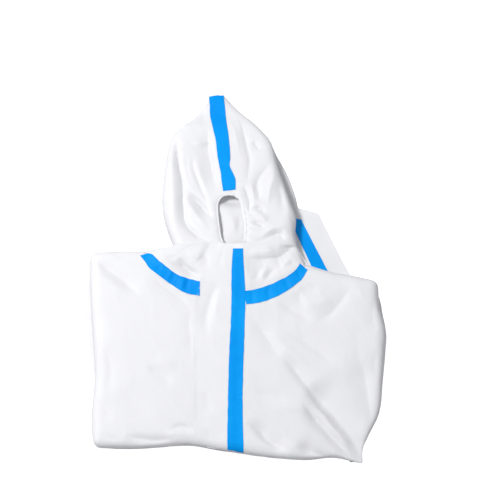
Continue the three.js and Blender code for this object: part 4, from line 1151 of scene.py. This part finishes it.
class COVERALL_OT_sleeves(bpy.types.Operator):
    """Makes the folded edges of the two sleeves beside the bundle"""

    bl_idname = "coverall.sleeves"
    bl_label = "Sleeves"

    def execute(self, context):
        settings = context.scene.coverall
        cloth = materials()[0]
        step = step_of(settings)
        for name, sleeve in SLEEVES.items():
            side, out_rows = sleeve["side"], sleeve["out"]
            y = np.arange(out_rows["y"][0], out_rows["y"][-1], step)[:, None]
            out = read(out_rows, "out", y) + 1.2 * noise(y, 0 * y, 40, 101) * smooth(read(out_rows, "out", y) / 4)
            droop = np.minimum(out * 0.3, 6)
            turn = np.linspace(-np.pi / 2, np.pi / 2, 15)[None, :]
            half = 2.9 + 0.7 * noise(y, 0 * y + 7, 32, 102)
            middle = 12.9 - droop + 0.8 * noise(y, 0 * y + 3, 27, 103)
            rim_in = 3.2 * (1 - np.cos(turn))
            rim_z = middle - half * np.sin(turn)
            inward = np.linspace(0, 1, 9)[None, :]
            upper = mix(15.0, -out + 3.2, inward)
            inset = np.concatenate([upper, rim_in - out, upper[:, ::-1]], 1)
            z_top = mix(16.2, middle + half, smooth(inward))
            z_bottom = mix(9.8, middle - half, smooth(inward))
            z = np.concatenate([z_top, rim_z, z_bottom[:, ::-1]], 1)
            line = read(BODY_LINES, "left" if side < 0 else "right", y)
            x = line - side * inset
            z = z + 0.35 * noise(x * 1.4, y + 0 * x, 18, 104)
            grid = np.stack([x, y + 0 * x, z], -1)
            if side < 0:
                grid = grid[:, ::-1]
            if normals_of(grid)[:, :6, 2].mean() * (1 if side > 0 else -1) < 0:
                grid = grid[::-1]
            made = place(sheet_object(name, grid, cloth), "white_cloth", name)
        return {"FINISHED"}


class COVERALL_OT_layers(bpy.types.Operator):
    """Makes the folded plies under the front, which show at the bundle's edges, and its underside"""

    bl_idname = "coverall.layers"
    bl_label = "Folded layers"

    def execute(self, context):
        settings = context.scene.coverall
        cloth = materials()[0]
        step = step_of(settings)
        loop, side_share = self.outline(step)
        away = np.roll(loop, -1, 0) - np.roll(loop, 1, 0)
        away /= np.maximum(np.linalg.norm(away, axis=1, keepdims=True), 1e-9)
        inward = np.stack([-away[:, 1], away[:, 0]], -1)
        travelled = np.concatenate([[0], np.cumsum(np.linalg.norm(np.diff(loop, axis=0), axis=1))])
        around = 190 * np.cos(2 * np.pi * travelled / travelled[-1]), 190 * np.sin(2 * np.pi * travelled / travelled[-1])
        first = None
        for seed, (name, ply) in enumerate(PLIES.items()):
            wave = ply["wave"] * (noise(*around, ply["size"], 110 + seed) + 0.5 * noise(*around, ply["size"] / 3, 120 + seed))
            inset = mix(ply["ends"], ply["sides"], side_share) + wave + 0.6 * ply["wave"]
            top, bottom = ply["top"] + 0 * inset, ply["bottom"] + 0 * inset
            if ply["sides_thin"]:
                bottom = mix(bottom, 16.7, side_share)
                turn = np.linspace(0, -np.pi / 2, 7)
            else:
                turn = np.linspace(np.pi / 2, -np.pi / 2, 12)
                lift = 0.5 * noise(*around, 38, 130 + seed)
                top, bottom = top + np.minimum(lift, 0), bottom + np.maximum(lift, 0)
            if name == "lower_leg_ply":
                bottom = 0.3 + 0 * bottom
            middle, half = (top + bottom) / 2, (top - bottom) / 2
            if ply["sides_thin"]:
                middle, half = top, top - bottom
            bulge = np.minimum(half, 3.2)[:, None] if not ply["sides_thin"] else (0.55 * half)[:, None]
            lines_in = inset[:, None] + bulge * (1 - np.cos(turn))
            lines_z = middle[:, None] + half[:, None] * np.sin(turn)
            if ply["tuck"]:
                tuck = ply["tuck"] * np.array([0.35, 0.7, 1.0])
                lines_in = np.concatenate([lines_in, lines_in[:, -1:] + tuck], 1)
                lines_z = np.concatenate([lines_z, lines_z[:, -1:] + 0 * tuck], 1)
                if not ply["sides_thin"]:
                    lines_in = np.concatenate([lines_in[:, :1] + tuck[::-1], lines_in], 1)
                    lines_z = np.concatenate([lines_z[:, :1] + 0 * tuck, lines_z], 1)
            xy = loop[:, None] + inward[:, None] * lines_in[..., None]
            ring = np.concatenate([xy, lines_z[..., None]], -1)
            height, width = ring.shape[:2]
            quads = faces_of(width, height, wrap=True)
            points = ring.transpose(1, 0, 2).reshape(-1, 3)
            if name == "lower_leg_ply":
                points = np.vstack([points, [[0, -150, 0.3]]])
                base = (width - 1) * height + np.arange(height)
                centre = np.full(height, len(points) - 1)
                quads = np.vstack([quads, self.fan(base, centre)])
            made = mesh_object(name, points, quads[:, ::-1], cloth)
            place(made, "white_cloth", "folded_layers")
        return {"FINISHED"}

    def fan(self, base, centre):
        """Faces from a ring to its middle, two of the ring's edges at a time."""
        k = np.arange(0, len(base) - 1, 2)
        return np.stack([base[k], base[(k + 1) % len(base)], base[(k + 2) % len(base)], centre[k]], -1)

    def outline(self, step):
        """The bundle's outline at its rim, counter-clockwise, with an even number of places, and where its sides are."""
        columns, rows = body_columns(step, "left", "right"), body_rows(step, hidden=True)
        column_ends = [columns[0], columns[-1]]
        across = body_grid(columns, [rows[0], rows[-1]], 0, 0)
        up = body_grid(column_ends, rows, 0, 0)
        ring = np.vstack([across[0], up[1:, 1], across[1][::-1][1:], up[::-1][1:-1, 0]])[:, :2]
        share = np.concatenate([
            np.zeros(len(columns)),
            self.side(up[1:, 1]),
            np.zeros(len(columns) - 1),
            self.side(up[::-1][1:-1, 0]),
        ])
        gap = np.linalg.norm(np.roll(ring, -1, 0) - ring, axis=1)
        keep = gap > 0.4
        ring, share = ring[keep], share[keep]
        closed = np.vstack([ring, ring[:1]])
        length = np.concatenate([[0], np.cumsum(np.linalg.norm(np.diff(closed, axis=0), axis=1))])
        at = np.linspace(0, length[-1], 2 * round(length[-1] / step / 2.4), endpoint=False)
        ring = np.stack([np.interp(at, length, closed[:, k]) for k in (0, 1)], -1)
        return ring, np.interp(at, length, np.append(share, share[0]))

    def side(self, points):
        """Where a sleeve fills a recess between the plies: 1 beside it, 0 elsewhere."""
        name = "sleeve_left" if points[:, 0].mean() < 0 else "sleeve_right"
        from_end = points[:, 1] - SLEEVES[name]["out"]["y"][0] + 4
        from_shoulder = read(BODY_ENDS, "shoulder", points[:, 0], "x") - points[:, 1]
        return smooth(np.minimum(from_end, from_shoulder - 2) / 12)


class COVERALL_OT_stitches(bpy.types.Operator):
    """Runs a row of stitches down the storm flap's free edge with Geometry Nodes"""

    bl_idname = "coverall.stitches"
    bl_label = "Stitches"

    def execute(self, context):
        settings = context.scene.coverall
        elastic = materials()[2]
        bed = Bed(piece("storm_flap"))
        y = np.arange(-312, 40, 4.0)
        x = read(BODY_LINES, "flap", y) + 6.5
        z = bed.height(x[None, :], y[None, :])[0] + 0.12
        curve = bpy.data.curves.new("flap_stitches", "CURVE")
        curve.dimensions = "3D"
        line = curve.splines.new("POLY")
        line.points.add(len(x) - 1)
        line.points.foreach_set("co", np.stack([x * MM, y * MM, z * MM, np.ones_like(x)], -1).ravel())
        source = bpy.data.objects.new("flap_stitches_path", curve)
        context.scene.collection.objects.link(source)
        tree = self.tree(elastic)
        modifier = source.modifiers.new("Stitches", "NODES")
        modifier.node_group = tree
        pitch = next(s for s in tree.interface.items_tree if s.name == "Pitch")
        modifier[pitch.identifier] = settings.stitch_pitch
        graph = context.evaluated_depsgraph_get()
        mesh = bpy.data.meshes.new_from_object(source.evaluated_get(graph), depsgraph=graph)
        if not mesh.polygons:
            raise RuntimeError("the stitches came out empty")
        mesh.name = "flap_stitches"
        made = bpy.data.objects.new("flap_stitches", mesh)
        context.scene.collection.objects.link(made)
        source.modifiers.clear()
        bpy.data.objects.remove(source)
        place(made, "white_cloth")
        return {"FINISHED"}

    def tree(self, material):
        tree = bpy.data.node_groups.new("Stitch row", "GeometryNodeTree")
        socket(tree, "Geometry", "NodeSocketGeometry")
        socket(tree, "Pitch", "NodeSocketFloat", default=0.0035)
        socket(tree, "Thread", "NodeSocketFloat", default=0.00025)
        socket(tree, "Seed", "NodeSocketInt", default=4)
        socket(tree, "Geometry", "NodeSocketGeometry", output=True)
        nodes, links = tree.nodes, tree.links
        enter, leave = nodes.new("NodeGroupInput"), nodes.new("NodeGroupOutput")
        points = nodes.new("GeometryNodeCurveToPoints")
        points.mode = "LENGTH"
        links.new(enter.outputs["Geometry"], points.inputs["Curve"])
        links.new(enter.outputs["Pitch"], points.inputs["Length"])
        length = nodes.new("ShaderNodeMath")
        length.operation = "MULTIPLY"
        length.inputs[1].default_value = 0.68
        links.new(enter.outputs["Pitch"], length.inputs[0])
        stitch = nodes.new("GeometryNodeMeshCylinder")
        stitch.inputs["Vertices"].default_value = 6
        links.new(enter.outputs["Thread"], stitch.inputs["Radius"])
        links.new(length.outputs[0], stitch.inputs["Depth"])
        size = nodes.new("FunctionNodeRandomValue")
        size.data_type = "FLOAT"
        size.inputs[2].default_value = 0.86
        size.inputs[3].default_value = 1.1
        links.new(enter.outputs["Seed"], size.inputs["Seed"])
        put = nodes.new("GeometryNodeInstanceOnPoints")
        links.new(points.outputs["Points"], put.inputs["Points"])
        links.new(stitch.outputs["Mesh"], put.inputs["Instance"])
        links.new(points.outputs["Rotation"], put.inputs["Rotation"])
        links.new(size.outputs[1], put.inputs["Scale"])
        real = nodes.new("GeometryNodeRealizeInstances")
        links.new(put.outputs["Instances"], real.inputs["Geometry"])
        look = nodes.new("GeometryNodeSetMaterial")
        look.inputs["Material"].default_value = material
        links.new(real.outputs["Geometry"], look.inputs["Geometry"])
        links.new(look.outputs["Geometry"], leave.inputs["Geometry"])
        return tree


class COVERALL_OT_stage(bpy.types.Operator):
    """Sets the pale floor, the studio light and the camera"""

    bl_idname = "coverall.stage"
    bl_label = "Stage"

    def execute(self, context):
        scene = context.scene
        floor_material = bpy.data.materials.new("pale_floor")
        floor_material.use_nodes = True
        shader = floor_material.node_tree.nodes["Principled BSDF"]
        shader.inputs["Base Color"].default_value = (0.6, 0.6, 0.61, 1)
        shader.inputs["Emission Color"].default_value = (1, 1, 1, 1)
        shader.inputs["Roughness"].default_value = 0.9
        shader.inputs["Specular IOR Level"].default_value = 0.1
        seen = floor_material.node_tree.nodes.new("ShaderNodeLightPath")
        glow = floor_material.node_tree.nodes.new("ShaderNodeMath")
        glow.operation = "MULTIPLY"
        glow.inputs[1].default_value = 0.9
        floor_material.node_tree.links.new(seen.outputs["Is Camera Ray"], glow.inputs[0])
        floor_material.node_tree.links.new(glow.outputs[0], shader.inputs["Emission Strength"])
        bpy.ops.mesh.primitive_plane_add(size=12, location=(0, 0, -0.0002))
        floor = context.object
        floor.name = "floor"
        floor.data.materials.append(floor_material)

        world = bpy.data.worlds.new("studio")
        scene.world = world
        world.use_nodes = True
        back = world.node_tree.nodes["Background"]
        back.inputs["Color"].default_value = (0.97, 0.985, 1, 1)
        self.softbox(world.node_tree, back.inputs["Strength"])

        target = Vector((0, -0.02, 0))
        lights = (
            ("key", (-1.5, 0.5, 2.8), 0.75, 106, (1, 0.995, 0.985)),
            ("fill", (0.5, 1.6, 2.4), 1.8, 6, (0.96, 0.98, 1)),
        )
        for name, spot, size, power, colour in lights:
            lamp = bpy.data.lights.new(name, "AREA")
            lamp.shape, lamp.size, lamp.energy, lamp.color = "DISK", size, power, colour
            made = bpy.data.objects.new(name, lamp)
            made.location = spot
            made.rotation_euler = (target - Vector(spot)).to_track_quat("-Z", "Y").to_euler()
            scene.collection.objects.link(made)

        lens, width, elevation = 800.0, 0.864, math.radians(75)
        look_at = Vector((0.0135, 0.0742, 0.0))
        data = bpy.data.cameras.new("camera")
        data.lens, data.sensor_width = lens, 36
        distance = width * lens / data.sensor_width
        back_way = Vector((0, -math.cos(elevation), math.sin(elevation)))
        camera = bpy.data.objects.new("camera", data)
        camera.location = look_at + back_way * distance
        camera.rotation_mode = "QUATERNION"
        camera.rotation_quaternion = (-back_way).to_track_quat("-Z", "Y")
        data.clip_start, data.clip_end = 0.05, 40
        scene.collection.objects.link(camera)
        scene.camera = camera
        scene.view_settings.view_transform = "Standard"
        return {"FINISHED"}


    def softbox(self, tree, strength):
        """Makes the light from around strongest overhead and weak near the horizon, as under a large softbox."""
        way = tree.nodes.new("ShaderNodeTexCoord")
        parts = tree.nodes.new("ShaderNodeSeparateXYZ")
        spread = tree.nodes.new("ShaderNodeMapRange")
        spread.inputs["From Min"].default_value = 0
        spread.inputs["From Max"].default_value = 0.9
        spread.inputs["To Min"].default_value = 0.3
        spread.inputs["To Max"].default_value = 0.56
        tree.links.new(way.outputs["Generated"], parts.inputs[0])
        tree.links.new(parts.outputs["Z"], spread.inputs["Value"])
        tree.links.new(spread.outputs[0], strength)


class COVERALL_PT_panel(bpy.types.Panel):
    bl_idname = "COVERALL_PT_panel"
    bl_label = "Folded isolation coverall"
    bl_space_type = "VIEW_3D"
    bl_region_type = "UI"
    bl_category = "Coverall"

    def draw(self, context):
        for key in CoverallSettings.__annotations__:
            self.layout.prop(context.scene.coverall, key)
        for operator in OPERATORS:
            self.layout.operator(operator.bl_idname)


OPERATORS = (
    COVERALL_OT_front,
    COVERALL_OT_hood,
    COVERALL_OT_casing,
    COVERALL_OT_flap,
    COVERALL_OT_shoulder,
    COVERALL_OT_tapes,
    COVERALL_OT_sleeves,
    COVERALL_OT_layers,
    COVERALL_OT_stitches,
    COVERALL_OT_stage,
)
CLASSES = (CoverallSettings, *OPERATORS, COVERALL_PT_panel)


def register():
    for cls in CLASSES:
        bpy.utils.register_class(cls)
    bpy.types.Scene.coverall = bpy.props.PointerProperty(type=CoverallSettings)


def unregister():
    del bpy.types.Scene.coverall
    for cls in reversed(CLASSES):
        bpy.utils.unregister_class(cls)


def main():
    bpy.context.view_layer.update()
    register()
    for operator in OPERATORS:
        group, name = operator.bl_idname.split(".")
        getattr(getattr(bpy.ops, group), name)()


if __name__ == "__main__":
    main()
